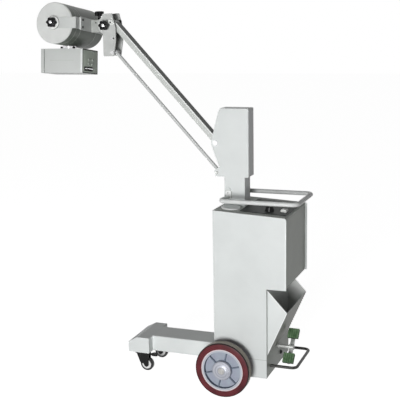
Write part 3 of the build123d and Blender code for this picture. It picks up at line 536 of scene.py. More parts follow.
def placed(origin: Point | Vector, normal: Point | Vector, along: Point | Vector = (1.0, 0.0, 0.0)) -> Matrix:
    """Place of a flat piece: its Z along normal, its X as near along as can be.

    Args:
        origin: Where its own origin goes, in millimetres.
        normal: Direction of its Z.
        along: Direction that its X leans to.

    Returns:
        The 4 by 4 matrix.
    """
    z_way = Vector(normal).normalized()
    x_way = Vector(along)
    x_way = (x_way - z_way * x_way.dot(z_way)).normalized()
    y_way = z_way.cross(x_way)
    turned = Matrix((x_way, y_way, z_way)).transposed().to_4x4()
    return Matrix.Translation(Vector(origin)) @ turned


@dataclass(frozen=True)
class Rolled:
    """The yoke, the tube and the collimator sit turned about the roll axis at rest."""

    z: float = 1949.0
    degrees: float = 6.3

    def matrix(self) -> Matrix:
        """Turns a place from level into the rest position."""
        about = Vector((0.0, 0.0, self.z))
        turn = Matrix.Rotation(math.radians(self.degrees), 4, "X")
        return Matrix.Translation(about) @ turn @ Matrix.Translation(-about)


ROLL = Rolled().matrix()


def bridge(made: BMesh, low: Sequence[bmesh.types.BMVert], high: Sequence[bmesh.types.BMVert]) -> None:
    """Joins two rings of vertices by faces. A ring of one vertex is a pole.

    Args:
        made: The mesh that holds them.
        low: The first ring.
        high: The second ring.
    """
    steps = max(len(low), len(high))
    for i in range(steps):
        j = (i + 1) % steps
        corners = (low[i % len(low)], low[j % len(low)], high[j % len(high)], high[i % len(high)])
        unique = list(dict.fromkeys(corners))
        if len(unique) > 2:
            made.faces.new(unique)


def revolved(profile: Sequence[Pair], segments: int = 48) -> BMesh:
    """Turns a profile about Z. A point on the axis is a pole; a profile that keeps off it closes into a ring.

    Args:
        profile: Radius and height of each point.
        segments: Steps round the axis.

    Returns:
        The closed mesh.
    """
    made = bmesh.new()
    turns = [2 * math.pi * i / segments for i in range(segments)]
    rings = []
    for radius, height in profile:
        if radius == 0.0:
            rings.append([made.verts.new((0.0, 0.0, height))])
        else:
            circle = [(radius * math.cos(a), radius * math.sin(a), height) for a in turns]
            rings.append([made.verts.new(spot) for spot in circle])
    if all(len(ring) > 1 for ring in rings):
        rings.append(rings[0])
    for low, high in zip(rings, rings[1:]):
        bridge(made, low, high)
    return made


def plate(outline: Sequence[Pair], depth: float, bevel: float = 0.0) -> BMesh:
    """A flat plate from an outline, with its front edges bevelled.

    Args:
        outline: Corners in its own XY plane.
        depth: Thickness along Z.
        bevel: Width of the bevel round the front face.

    Returns:
        The closed mesh.
    """
    made = bmesh.new()
    low = [made.verts.new((x, y, 0.0)) for x, y in outline]
    high = [made.verts.new((x, y, depth)) for x, y in outline]
    made.faces.new(low)
    front = made.faces.new(list(reversed(high)))
    bridge(made, high, low)
    if bevel > 0:
        bmesh.ops.bevel(made, geom=list(front.edges), offset=bevel, segments=2, affect="EDGES", profile=0.5)
    return made


def ladder(length: float, width: float, depth: float, steps: int = 40) -> BMesh:
    """A long flat bar built of short even faces.

    Args:
        length: Size along X, about the middle.
        width: Size along Y, about the middle.
        depth: Thickness along Z.
        steps: Number of faces along its length.

    Returns:
        The closed mesh.
    """
    made = bmesh.new()
    half = width / 2
    section = ((-half, 0.0), (half, 0.0), (half, depth), (-half, depth))
    rings = []
    for i in range(steps + 1):
        rings.append([made.verts.new((length * (i / steps - 0.5), y, z)) for y, z in section])
    for low, high in zip(rings, rings[1:]):
        bridge(made, low, high)
    made.faces.new(rings[0])
    made.faces.new(list(reversed(rings[-1])))
    return made


def oblong(length: float, width: float, corner: float = 0.0, steps: int = 4) -> list[Pair]:
    """Outline of a rectangle about its middle, with rounded corners.

    Args:
        length: Size along X.
        width: Size along Y.
        corner: Radius of the corners.
        steps: Steps of each corner.

    Returns:
        The corners in order.
    """
    x, y = length / 2, width / 2
    if corner <= 0:
        return [(-x, -y), (x, -y), (x, y), (-x, y)]
    points = []
    for quarter, (sx, sy) in enumerate(((1, 1), (-1, 1), (-1, -1), (1, -1))):
        for step in range(steps + 1):
            turn = math.pi / 2 * (quarter + step / steps)
            out_x, out_y = corner * math.cos(turn), corner * math.sin(turn)
            points.append((sx * (x - corner) + out_x, sy * (y - corner) + out_y))
    return points


def into_scene(name: str, mesh: Mesh, finish: Finish, body: Body) -> Piece:
    """Puts a finished mesh into the scene and lets it ride on its body.

    Args:
        name: Name of the piece.
        mesh: Its mesh, in metres and in place.
        finish: Its finish.
        body: The body that it moves with.

    Returns:
        The new object.
    """
    mesh.name = name
    mesh.materials.clear()
    mesh.materials.append(finish.material())
    mesh.polygons.foreach_set("use_smooth", [True] * len(mesh.polygons))
    mesh.set_sharp_from_angle(angle=math.radians(SHARP_EDGE_DEGREES))
    piece = bpy.data.objects.new(name, mesh)
    bpy.context.scene.collection.objects.link(piece)
    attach(piece, body.value)
    LOG.info("piece %s: %d faces", name, len(mesh.polygons))
    return piece


def solid(name: str, made: BMesh, place: Matrix, finish: Finish, body: Body) -> Piece:
    """Makes a piece from a mesh in millimetres and the matrix of its place.

    Args:
        name: Name of the piece.
        made: The mesh; it is freed here.
        place: Where it goes, in millimetres.
        finish: Its finish.
        body: The body that it moves with.

    Returns:
        The new object.
    """
    bmesh.ops.transform(made, matrix=Matrix.Scale(MM, 4) @ place, verts=made.verts)
    bmesh.ops.recalc_face_normals(made, faces=made.faces)
    mesh = bpy.data.meshes.new(name)
    made.to_mesh(mesh)
    made.free()
    return into_scene(name, mesh, finish, body)


@dataclass
class StarGrip:
    """A moulded star grip for a clamping knob: rounded lobes, domed crown and the bright end of its stud,
    partly a painted highlight.
    """

    reach: float = 27.4
    height: float = 24.8
    lobes: int = 6
    lobe_r: float = 7.9
    lobe_steps: int = 12
    waist: float = 0.72
    # share of the reach and share of the height, from the back to the dished middle
    levels: tuple[Pair, ...] = (
        (0.90, 0.0), (1.0, 0.1), (1.0, 0.72), (0.96, 0.88),
        (0.84, 1.0), (0.62, 1.06), (0.45, 1.04), (0.34, 0.98))
    stud_profile: tuple[Pair, ...] = ((0.0, 3.4), (4.5, 3.0), (8.2, 1.6), (9.0, 0.0), (0.0, 0.0))
    stud_z: float = 24.6

    def outline(self) -> list[Pair]:
        """Angle and radius of each point round the lobes."""
        steps = self.lobe_steps * self.lobes
        middle = self.reach - self.lobe_r
        half_lobe = math.pi / self.lobes
        points = []
        for i in range(steps):
            angle = 2 * math.pi * i / steps
            off = (angle + half_lobe) % (2 * half_lobe) - half_lobe
            side = middle * math.sin(off)
            tip = 0.0
            if abs(side) < self.lobe_r:
                tip = middle * math.cos(off) + math.sqrt(self.lobe_r**2 - side**2)
            points.append((angle, max(tip, self.reach - self.waist * self.lobe_r)))
        return points

    def mesh(self) -> BMesh:
        """The closed grip, its back on the plane Z = 0."""
        made = bmesh.new()
        outline = self.outline()
        rings = []
        for share, level in self.levels:
            z = level * self.height
            ring = [(share * r * math.cos(a), share * r * math.sin(a), z) for a, r in outline]
            rings.append([made.verts.new(spot) for spot in ring])
        for low, high in zip(rings, rings[1:]):
            bridge(made, low, high)
        made.faces.new(list(reversed(rings[0])))
        made.faces.new(rings[-1])
        return made

    def fit(self, name: str, body: Body, place: Matrix) -> None:
        """Puts the grip and its stud on a knob.

        Args:
            name: Name of the grip.
            body: The body that it rides on.
            place: Plane of the grip's back, a little under the solid's.
        """
        solid(name, self.mesh(), place, BLACK_PHENOLIC, body)
        # bright stud end: partly the metal stud, partly painted highlight in the dished crown
        stud = revolved(self.stud_profile, 24)
        stud_place = place @ Matrix.Translation((0.0, 0.0, self.stud_z))
        solid(name + "_stud", stud, stud_place, BRIGHT_ZINC, body)


def spots_mesh(spots: Sequence[tuple[Point, Point]], place: Matrix | None = None) -> Mesh:
    """A mesh of loose points that say which way each one faces.

    Args:
        spots: Position in millimetres and direction of each point.
        place: A further turn for all of them.

    Returns:
        The mesh, in metres, with a vector attribute named facing.
    """
    turn = place or Matrix.Identity(4)
    mesh = bpy.data.meshes.new("spots")
    mesh.from_pydata([(turn @ Vector(at)) * MM for at, _ in spots], [], [])
    facing = mesh.attributes.new("facing", "FLOAT_VECTOR", "POINT")
    for i, (_, way) in enumerate(spots):
        facing.data[i].vector = (turn.to_3x3() @ Vector(way)).normalized()
    return mesh


@dataclass
class NodeGroupMaker:
    """A Geometry Nodes group that is run once on a piece and then taken off it."""

    title: str
    sizes: dict[str, float] = field(default_factory=dict)
    tree: Tree | None = None

    def open(self) -> tuple[Tree, Node]:
        """Starts the group with a geometry input, its named sizes and a material.

        Returns:
            The tree and its input node.
        """
        self.tree = bpy.data.node_groups.new(self.title, "GeometryNodeTree")
        face = self.tree.interface
        face.new_socket(name="Geometry", in_out="INPUT", socket_type="NodeSocketGeometry")
        for name in self.sizes:
            face.new_socket(name=name, in_out="INPUT", socket_type="NodeSocketFloat")
        face.new_socket(name="Material", in_out="INPUT", socket_type="NodeSocketMaterial")
        face.new_socket(name="Geometry", in_out="OUTPUT", socket_type="NodeSocketGeometry")
        return self.tree, add_node(self.tree, "NodeGroupInput")

    def on_points(self, entry: Node, instance: Socket, axis: str, pivot: str = "AUTO") -> Socket:
        """Puts an instance on each point, turned by the attribute named facing.

        Args:
            entry: The group's input node.
            instance: The geometry to repeat.
            axis: Axis of the instance that goes along facing.
            pivot: Axis that it may turn about.

        Returns:
            The instances.
        """
        way = add_node(self.tree, "GeometryNodeInputNamedAttribute", {"data_type": "FLOAT_VECTOR"}, {
            "Name": "facing"})
        shown = next(o for o in way.outputs if o.name == "Attribute" and o.enabled)
        turn = add_node(self.tree, "FunctionNodeAlignRotationToVector", {"axis": axis, "pivot_axis": pivot}, {
            "Vector": shown})
        copies = add_node(self.tree, "GeometryNodeInstanceOnPoints", inputs={
            "Points": entry.outputs["Geometry"], "Instance": instance, "Rotation": turn.outputs["Rotation"]})
        return copies.outputs["Instances"]

    def close(self, entry: Node, result: Socket) -> None:
        """Ends the group in Realize Instances and Set Material.

        Args:
            entry: The group's input node.
            result: The geometry to hand out.
        """
        real = add_node(self.tree, "GeometryNodeRealizeInstances", inputs={"Geometry": result})
        dressed = add_node(self.tree, "GeometryNodeSetMaterial", inputs={
            "Geometry": real.outputs["Geometry"], "Material": entry.outputs["Material"]})
        add_node(self.tree, "NodeGroupOutput", inputs={"Geometry": dressed.outputs["Geometry"]})

    def run(self, name: str, start: Mesh, finish: Finish, body: Body, slot: str) -> Piece:
        """Runs the group on a mesh and keeps what it makes as a plain mesh.

        Args:
            name: Name of the piece.
            start: Mesh that carries the points, in metres and in place.
            finish: The piece's finish.
            body: The body that it moves with.
            slot: Not used.

        Returns:
            The finished piece.
        """
        carrier = bpy.data.objects.new(name + ".points", start)
        bpy.context.scene.collection.objects.link(carrier)
        modifier = carrier.modifiers.new(self.title, "NODES")
        modifier.node_group = self.tree
        for item in self.tree.interface.items_tree:
            if item.in_out == "INPUT" and item.name in self.sizes:
                modifier[item.identifier] = self.sizes[item.name]
            if item.in_out == "INPUT" and item.name == "Material":
                modifier[item.identifier] = finish.material()
        bpy.context.view_layer.update()
        seen = carrier.evaluated_get(bpy.context.evaluated_depsgraph_get())
        mesh = bpy.data.meshes.new_from_object(seen)
        carrier.modifiers.clear()
        bpy.data.objects.remove(carrier)
        return into_scene(name, mesh, finish, body)


@dataclass
class ScrewHeads(NodeGroupMaker):
    """Socket-head screws on points, each turned to face its own way."""

    title: str = "ScrewHeads"
    head_r: float = 4.0
    head_h: float = 2.0
    crown_share: float = 0.8
    socket_share: float = 0.5
    socket_lift: float = 1.35

    def __post_init__(self) -> None:
        """Builds the tree."""
        self.sizes = {
            "Head Radius": self.head_r * MM,
            "Head Height": self.head_h * MM,
            "Socket Radius": self.socket_share * self.head_r * MM,
        }
        tree, entry = self.open()
        radius, height = entry.outputs["Head Radius"], entry.outputs["Head Height"]
        rim = add_node(tree, "ShaderNodeMath", {"operation": "MULTIPLY"}, {0: radius, 1: self.crown_share})
        head = add_node(tree, "GeometryNodeMeshCone", {"fill_type": "NGON"}, {
            "Vertices": 20, "Radius Top": rim.outputs[0], "Radius Bottom": radius, "Depth": height})
        socket = add_node(tree, "GeometryNodeMeshCylinder", {"fill_type": "NGON"}, {
            "Vertices": 6, "Radius": entry.outputs["Socket Radius"], "Depth": height})
        top = add_node(tree, "ShaderNodeCombineXYZ", inputs={"Z": height})
        lift = add_node(tree, "ShaderNodeVectorMath", {"operation": "SCALE"}, {
            0: top.outputs[0], "Scale": self.socket_lift})
        raised = add_node(tree, "GeometryNodeTransform", inputs={
            "Geometry": socket.outputs["Mesh"], "Translation": lift.outputs[0]})
        cut = add_node(tree, "GeometryNodeMeshBoolean", {"operation": "DIFFERENCE"}, {
            "Mesh 1": head.outputs["Mesh"], "Mesh 2": raised.outputs["Geometry"]})
        self.close(entry, self.on_points(entry, cut.outputs["Mesh"], "Z"))


@dataclass
class BentTube(NodeGroupMaker):
    """A round tube along a line of straight runs, bent at its corners."""

    title: str = "BentTube"
    tube_r: float = 12.0
    bend_r: float = 34.0
    bend_steps: int = 10
    round_steps: int = 24

    def __post_init__(self) -> None:
        """Builds the tree."""
        self.sizes = {"Tube Radius": self.tube_r * MM, "Bend Radius": self.bend_r * MM}
        tree, entry = self.open()
        line = add_node(tree, "GeometryNodeMeshToCurve", inputs={"Mesh": entry.outputs["Geometry"]})
        bent = add_node(tree, "GeometryNodeFilletCurve", {"mode": "POLY"}, {
            "Curve": line.outputs["Curve"], "Count": self.bend_steps,
            "Radius": entry.outputs["Bend Radius"], "Limit Radius": True})
        ring = add_node(tree, "GeometryNodeCurvePrimitiveCircle", {"mode": "RADIUS"}, {
            "Resolution": self.round_steps, "Radius": entry.outputs["Tube Radius"]})
        tube = add_node(tree, "GeometryNodeCurveToMesh", inputs={
            "Curve": bent.outputs["Curve"], "Profile Curve": ring.outputs["Curve"], "Fill Caps": True})
        self.close(entry, tube.outputs["Mesh"])


@dataclass
class Ribs(NodeGroupMaker):
    """Flat ribs that stand on points round an axle, each along its own radius."""

    title: str = "Ribs"
    length: float = 52.0
    depth: float = 34.0
    thick: float = 6.0

    def __post_init__(self) -> None:
        """Builds the tree."""
        self.sizes = {
            "Rib Length": self.length * MM,
            "Rib Depth": self.depth * MM,
            "Rib Thickness": self.thick * MM,
        }
        tree, entry = self.open()
        size = add_node(tree, "ShaderNodeCombineXYZ", inputs={
            "X": entry.outputs["Rib Length"],
            "Y": entry.outputs["Rib Depth"],
            "Z": entry.outputs["Rib Thickness"]})
        rib = add_node(tree, "GeometryNodeMeshCube", inputs={"Size": size.outputs[0]})
        self.close(entry, self.on_points(entry, rib.outputs["Mesh"], "X", "Y"))


@dataclass
class Hoops(NodeGroupMaker):
    """Thin flat hoops, each round the line through its point."""

    title: str = "Hoops"
    hoop_r: float = 111.3
    hoop_w: float = 2.0
    hoop_h: float = 0.8
    round_steps: int = 96

    def __post_init__(self) -> None:
        """Builds the tree."""
        self.sizes = {
            "Hoop Radius": self.hoop_r * MM,
            "Hoop Width": self.hoop_w * MM,
            "Hoop Height": self.hoop_h * MM,
        }
        tree, entry = self.open()
        ring = add_node(tree, "GeometryNodeCurvePrimitiveCircle", {"mode": "RADIUS"}, {
            "Resolution": self.round_steps, "Radius": entry.outputs["Hoop Radius"]})
        section = add_node(tree, "GeometryNodeCurvePrimitiveQuadrilateral", {"mode": "RECTANGLE"}, {
            "Width": entry.outputs["Hoop Height"], "Height": entry.outputs["Hoop Width"]})
        hoop = add_node(tree, "GeometryNodeCurveToMesh", inputs={
            "Curve": ring.outputs["Curve"], "Profile Curve": section.outputs["Curve"]})
        self.close(entry, self.on_points(entry, hoop.outputs["Mesh"], "Z"))


class Assembly:
    """A sub-assembly: it dresses its CAD nodes and adds the small pieces that the solids leave out."""

    coats: dict[str, Finish] = {}

    def dress(self) -> None:
        """Gives each CAD node of this assembly its finish."""
        for node, finish in self.coats.items():
            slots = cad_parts[node].material_slots
            for i in range(len(slots)):
                slots[i].material = finish.material()
            LOG.info("node %s: %s", node, finish.name)

    def build(self) -> None:
        """Adds this assembly's own pieces."""

    def make(self) -> None:
        """Dresses, then builds."""
        self.dress()
        self.build()


@dataclass
class Cabinet(Assembly):
    """Base, cabinet, deck with its controls, and the cassette bin."""

    half: float = 222.0
    rear_x: float = -320.0
    front_x: float = 80.0
    base_rear_x: float = -214.0
    deck_front_z: float = 989.0
    deck_rear_z: float = 968.0
    panel_t: float = 3.0
    panel_screw_x: Pair = (-292.0, -63.0)
    panel_screw_y: Pair = (-156.0, 156.0)
    dial: Pair = (-195.0, 95.0)
    dial_h: float = 26.0
    dial_cap: tuple[Pair, ...] = ((0.0, 1.6), (9.0, 1.4), (10.5, 0.4), (10.5, -0.5), (0.0, -0.5))
    pointer_size: Pair = (10.0, 2.4)
    pointer_off: float = 13.5
    pointer_sink: float = 0.2
    bin_half: float = 204.0
    bin_side: tuple[Pair, ...] = ((-214.0, 213.0), (-322.0, 457.0), (-214.0, 573.0))
    bin_highlight: tuple[Pair, ...] = ((-217.0, 569.0), (-320.0, 457.5), (-216.0, 221.0))
    bin_highlight_out: float = 1.5
    bin_highlight_w: float = 4.0
    cheek_t: float = 0.8
    stop_at: Pair = (-52.0, 141.0)
    stop: tuple[Pair, ...] = ((0.0, 9.0), (8.5, 8.0), (11.0, 4.0), (12.0, 0.0), (0.0, 0.0))
    seam_z: float = 191.0
    seam_w: float = 1.6
    seam_t: float = 0.3
    rear_highlight_x: float = -316.8
    rear_highlight_z: Pair = (587.0, 949.0)
    rear_highlight_w: float = 5.0
    highlight_corner: float = 1.0
    highlight_t: float = 0.5
    highlight_bevel: float = 0.2

    def __post_init__(self) -> None:
        """Lists the finishes."""
        self.coats = {
            # the frame's and body's rear sheets take the darker grey as painted shade
            "base_frame": GREY_COAT_AND_SHADE,
            "axle": HUB_CAP,
            "cabinet_body": GREY_COAT_AND_SHADE,
            "side_panel_left": LIGHT_COAT,
            "side_panel_right": LIGHT_COAT,
            "top_deck": DECK_COAT,
            "deck_cover": PALE_COAT_AND_HIGHLIGHT,
            "control_panel": PANEL_PLATE,
            "selector_knob": BLACK_PHENOLIC,
            "power_switch": WHITE_ABS,
            "cassette_bin": BIN_COAT_AND_SHADE,
            # the low beams take the paler coat, which paints extra light on them
            "leg_beam": BASE_COAT_PAINTED_LIGHT,
            "cross_bar": BASE_COAT_PAINTED_LIGHT,
        }

    def on_deck(self, x: float, y: float, rise: float) -> Matrix:
        """Place on the sloping deck, rise above it."""
        run = self.front_x - self.rear_x
        climb = self.deck_front_z - self.deck_rear_z
        z = self.deck_rear_z + climb * (x - self.rear_x) / run
        up = Vector((-climb, 0.0, run)).normalized()
        return placed(Vector((x, y, z)) + up * rise, up)

    def build(self) -> None:
        """The dial's cap and pointer, the bin's cheeks, the rubber stop, the screws, the painted edge
        highlights and the seam.
        """
        x, y = self.dial
        top = self.panel_t + self.dial_h
        cap_place = self.on_deck(x, y, top)
        solid("dial_cap", revolved(self.dial_cap), cap_place, GREY_COAT_AND_SHADE, Body.CHASSIS)
        pointer = plate(oblong(*self.pointer_size, 0.8), 0.8, 0.3)
        pointer_place = self.on_deck(x - self.pointer_off, y, top - self.pointer_sink)
        solid("dial_pointer", pointer, pointer_place, GREY_COAT_AND_SHADE, Body.CHASSIS)
        for side in Side:
            cheek = plate([(-side.value * u, v) for u, v in self.bin_side], self.cheek_t, 0.3)
            place = placed((0.0, side.value * self.bin_half, 0.0), side.out(), (-side.value, 0.0, 0.0))
            solid(f"bin_cheek_{side.tag()}", cheek, place, LIGHT_COAT, Body.CHASSIS)
        stop_place = placed((self.base_rear_x, *self.stop_at), REARWARDS, ACROSS)
        solid("rear_stop", revolved(self.stop), stop_place, BLACK_RUBBER_AND_SHADOW, Body.CHASSIS)
        panel = [self.on_deck(px, py, self.panel_t) for px in self.panel_screw_x for py in self.panel_screw_y]
        spots = [(tuple(m.translation), tuple(m.col[2][:3])) for m in panel]
        screws = ScrewHeads(title="PanelScrews", head_r=4.0, head_h=1.6)
        screws.run("panel_screws", spots_mesh(spots), CHARCOAL_COAT_AND_SHADE, Body.CHASSIS, "black_metal")
        for side in Side:
            self.highlights_and_seam(side)

    def highlights_and_seam(self, side: Side) -> None:
        """The painted highlights along one side's edges and the dark seam over the base.

        Args:
            side: Which side of the machine.
        """
        face_y = side.value * self.half
        seam = plate(oblong(self.front_x - self.base_rear_x, self.seam_w), self.seam_t)
        seam_place = placed(((self.front_x + self.base_rear_x) / 2, face_y, self.seam_z), side.out())
        solid(f"base_seam_{side.tag()}", seam, seam_place, GREY_COAT_AND_SHADE, Body.CHASSIS)
        low, high = self.rear_highlight_z
        rear = plate(oblong(self.rear_highlight_w, high - low, self.highlight_corner), self.highlight_t, self.highlight_bevel)
        rear_place = placed((self.rear_highlight_x, face_y, (low + high) / 2), side.out())
        # bright strip at the panel's rear edge: painted highlight
        solid(f"panel_hem_{side.tag()}", rear, rear_place, PALE_COAT_AND_HIGHLIGHT, Body.CHASSIS)
        hem_y = side.value * (self.bin_half + self.cheek_t)
        for i, (start, end) in enumerate(zip(self.bin_highlight, self.bin_highlight[1:])):
            run = Vector((end[0] - start[0], 0.0, end[1] - start[1]))
            middle = (start[0] + run.x / 2 + self.bin_highlight_out, hem_y, start[1] + run.z / 2)
            highlight_strip = plate(oblong(run.length, self.bin_highlight_w, self.highlight_corner), self.highlight_t, self.highlight_bevel)
            place = placed(middle, side.out(), run)
            # bright strips along the bin's edges: painted highlight
            solid(f"bin_hem_{side.tag()}_{i + 1}", highlight_strip, place, PALE_COAT_AND_HIGHLIGHT, Body.CHASSIS)


@dataclass
class Column(Assembly):
    """Column, its neck and the push handle."""

    handle_half: float = 165.0
    handle_front: float = 62.0
    handle_rear: float = -361.0
    handle_z: float = 1030.0
    lug_x: float = 50.0
    lug_z: float = 1028.5
    lug_inside: float = 50.0
    lug_bend: float = 64.0
    lug_outside: float = 55.0
    face_at: Pair = (48.0, 1044.0)
    face_size: Pair = (34.0, 48.0)
    face_corner: float = 12.0
    face_t: float = 0.5
    rim_w: float = 2.0
    rim_back: float = 0.5
    rim_t: float = 0.3
    screw_z: float = 1054.0

    def __post_init__(self) -> None:
        """Lists the finishes."""
        self.coats = {
            "column_housing": LIGHT_COAT,
            "column_neck": LIGHT_COAT,
            "beam_column_pin": BRIGHT_ZINC,
            "rod_column_pin": DULL_ZINC,
        }

    def handle_line(self) -> Mesh:
        """Line of the handle's straight runs, from one lug round the ring to the other."""
        path = [
            (self.lug_x, self.lug_inside, self.lug_z),
            (self.lug_x, self.lug_bend, self.lug_z),
            (self.handle_front, self.handle_half, self.handle_z),
            (self.handle_rear, self.handle_half, self.handle_z),
        ]
        path += [(x, -y, z) for x, y, z in reversed(path)]
        line = bpy.data.meshes.new("handle_line")
        line.from_pydata([Vector(p) * MM for p in path], [(i, i + 1) for i in range(len(path) - 1)], [])
        return line

    def build(self) -> None:
        """The bent handle, the raised faces of the neck's lugs with a rim of painted shade round each, and
        the screws in them.
        """
        tube = BentTube().run("handle_tube", self.handle_line(), HANDLE_TUBE, Body.CHASSIS, "grey")
        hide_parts("push_handle")
        x, z = self.face_at
        length, height = self.face_size
        for side in Side:
            rim_size = (length + 2 * self.rim_w, height + 2 * self.rim_w)
            rim = plate(oblong(*rim_size, self.face_corner + self.rim_w, 6), self.rim_t)
            rim_place = placed((x - self.rim_back, side.value * self.lug_outside, z), side.out())
            # grey rim round the raised face: painted shade at its step
            solid(f"lug_rim_{side.tag()}", rim, rim_place, GREY_COAT_AND_SHADE, Body.CHASSIS)
            face = plate(oblong(length, height, self.face_corner, 6), self.face_t, 0.2)
            face_place = placed((x, side.value * (self.lug_outside + 0.2), z), side.out())
            solid(f"lug_face_{side.tag()}", face, face_place, PALE_COAT_AND_HIGHLIGHT, Body.CHASSIS)
        spots = [((self.lug_x, side.value * self.lug_outside, self.screw_z), side.out()) for side in Side]
        screws = ScrewHeads(title="LugScrews", head_r=4.5, head_h=2.0)
        screws.run("lug_screws", spots_mesh(spots), DULL_ZINC, Body.CHASSIS, "steel")


@dataclass
class MainWheel(Assembly):
    """One of the two large wheels."""

    side: Side = Side.LEFT
    axle_z: float = 150.0
    tread_r: float = 150.0
    rim_r: float = 116.0
    face_y: float = 333.0
    width: float = 50.0
    edge_r: float = 8.0
    edge_steps: int = 5
    grooves: int = 4
    groove_d: float = 1.6
    # shares of the pitch where a groove's two walls start and end
    groove_walls: tuple[Pair, Pair] = ((0.35, 0.42), (0.58, 0.65))
    bore_r: float = 12.7
    ring_r: float = 42.0
    hub_r: float = 53.0
    hub_step: float = 2.5
    hub_proud: float = 2.0
    web_half: float = 7.0
    step_r: Pair = (97.4, 101.0)
    rim_step: float = 3.0
    ribs: int = 6
    rib_middle_r: float = 77.0
    first_rib: float = 44.0
    boss: tuple[Pair, ...] = (
        (13.8, 0.0), (13.8, 8.0), (30.0, 8.0), (32.0, 7.0),
        (41.0, 7.0), (42.0, 5.0), (50.5, 4.0), (52.8, 0.0))

    def __post_init__(self) -> None:
        """Lists the finishes."""
        name = self.side.tag()
        self.coats = {f"tyre_{name}": RED_POLYURETHANE, f"wheel_core_{name}": WHEEL_NYLON}

    def tyre_section(self) -> list[Pair]:
        """Closed section of the tyre, from its inner edge round the ridged tread."""
        half = self.width / 2
        shoulder_r = self.tread_r - self.edge_r
        flat = half - self.edge_r
        turns = [math.pi / 2 * step / self.edge_steps for step in range(self.edge_steps + 1)]
        near = [(shoulder_r + self.edge_r * math.sin(t), -flat - self.edge_r * math.cos(t)) for t in turns]
        far = [(shoulder_r + self.edge_r * math.cos(t), flat + self.edge_r * math.sin(t)) for t in turns]
        pitch = 2 * flat / self.grooves
        bottom = self.tread_r - self.groove_d
        (fall, foot), (heel, rise) = self.groove_walls
        ridges = []
        for i in range(self.grooves):
            start = -flat + pitch * i
            ridges += [
                (self.tread_r, start + fall * pitch),
                (bottom, start + foot * pitch),
                (bottom, start + heel * pitch),
                (self.tread_r, start + rise * pitch),
            ]
        return [(self.rim_r, -half)] + near + ridges + far + [(self.rim_r, half)]

    def core_section(self) -> list[Pair]:
        """Closed section of the wheel's centre: bore, stepped hub, web and rim, the same on both faces."""
        half = self.width / 2
        hub, face = half + self.hub_proud, half - self.rim_step
        inner_r, outer_r = self.step_r
        core = [
            (self.bore_r, hub),
            (self.ring_r, hub),
            (self.ring_r, hub - self.hub_step),
            (self.hub_r, hub - self.hub_step),
            (self.hub_r, self.web_half),
            (inner_r, self.web_half),
            (outer_r, face),
            (self.rim_r, face),
        ]
        return core + [(r, -h) for r, h in reversed(core)]

    def build(self) -> None:
        """The ridged tyre, the stepped centre with its ribs, and the hub's boss."""
        name = self.side.tag()
        body = Body.WHEEL_LEFT if self.side is Side.LEFT else Body.WHEEL_RIGHT
        middle_y = self.side.value * (self.face_y - self.width / 2)
        middle = placed((0.0, middle_y, self.axle_z), ACROSS)
        tread = revolved(self.tyre_section(), 128)
        tyre = solid(f"tread_{name}", tread, middle, RED_POLYURETHANE, body)
        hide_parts(f"tyre_{name}")
        core = revolved(self.core_section(), 96)
        centre = solid(f"wheel_centre_{name}", core, middle, WHEEL_NYLON, body)
        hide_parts(f"wheel_core_{name}")
        spots = []
        for i in range(self.ribs):
            turn = math.radians(self.first_rib + 360.0 * i / self.ribs)
            way = Vector((math.cos(turn), 0.0, math.sin(turn)))
            spots.append((Vector((0.0, middle_y, self.axle_z)) + way * self.rib_middle_r, way))
        ribs = Ribs(title=f"WheelRibs{name}")
        ribs.run(f"wheel_ribs_{name}", spots_mesh(spots), RIB_NYLON, body, "wheelgrey")
        hub_y = self.side.value * (self.face_y + self.hub_proud)
        outer = placed((0.0, hub_y, self.axle_z), self.side.out())
        solid(f"hub_boss_{name}", revolved(self.boss, 64), outer, TURNED_HUB, body)


@dataclass
class Caster(Assembly):
    """One of the two swivel casters under the cross bar."""

    side: Side = Side.LEFT
    middle_y: float = 105.0
    fork_half: float = 19.5
    hood: tuple[Pair, ...] = (
        (592.0, 104.0), (588.0, 94.0), (571.0, 50.0), (562.0, 40.0), (548.0, 50.0), (544.0, 104.0))
    hood_t: float = 1.2
    tab_at: Pair = (486.0, 91.5)
    tab_size: Pair = (34.0, 24.0)
    tab_corner: float = 8.0
    tab_h: float = 14.5
    tab_bevel: float = 3.0

    def __post_init__(self) -> None:
        """Lists the finishes."""
        name = self.side.tag()
        self.coats = {
            f"caster_plate_{name}": BLACK_ENAMEL,
            f"caster_fork_{name}": BLACK_ENAMEL,
            f"caster_wheel_{name}": CASTER_NYLON,
        }

    def build(self) -> None:
        """The moulded tread on the brake tab's end and the hood's cheeks."""
        name = self.side.tag()
        body = Body.CASTER_LEFT if self.side is Side.LEFT else Body.CASTER_RIGHT
        middle = self.side.value * self.middle_y
        x, z = self.tab_at
        tread = plate(oblong(*self.tab_size, self.tab_corner, 5), self.tab_h, self.tab_bevel)
        place = placed((x, middle, z), UPWARDS)
        solid(f"brake_tread_{name}", tread, place, BLACK_ENAMEL, body)
        for cheek in Side:
            outline = [(-cheek.value * u, v) for u, v in self.hood]
            spot = (0.0, middle + cheek.value * self.fork_half, 0.0)
            place = placed(spot, cheek.out(), (-cheek.value, 0.0, 0.0))
            hood = plate(outline, self.hood_t, 0.5)
            solid(f"fork_hood_{name}_{cheek.tag()}", hood, place, BLACK_ENAMEL, body)


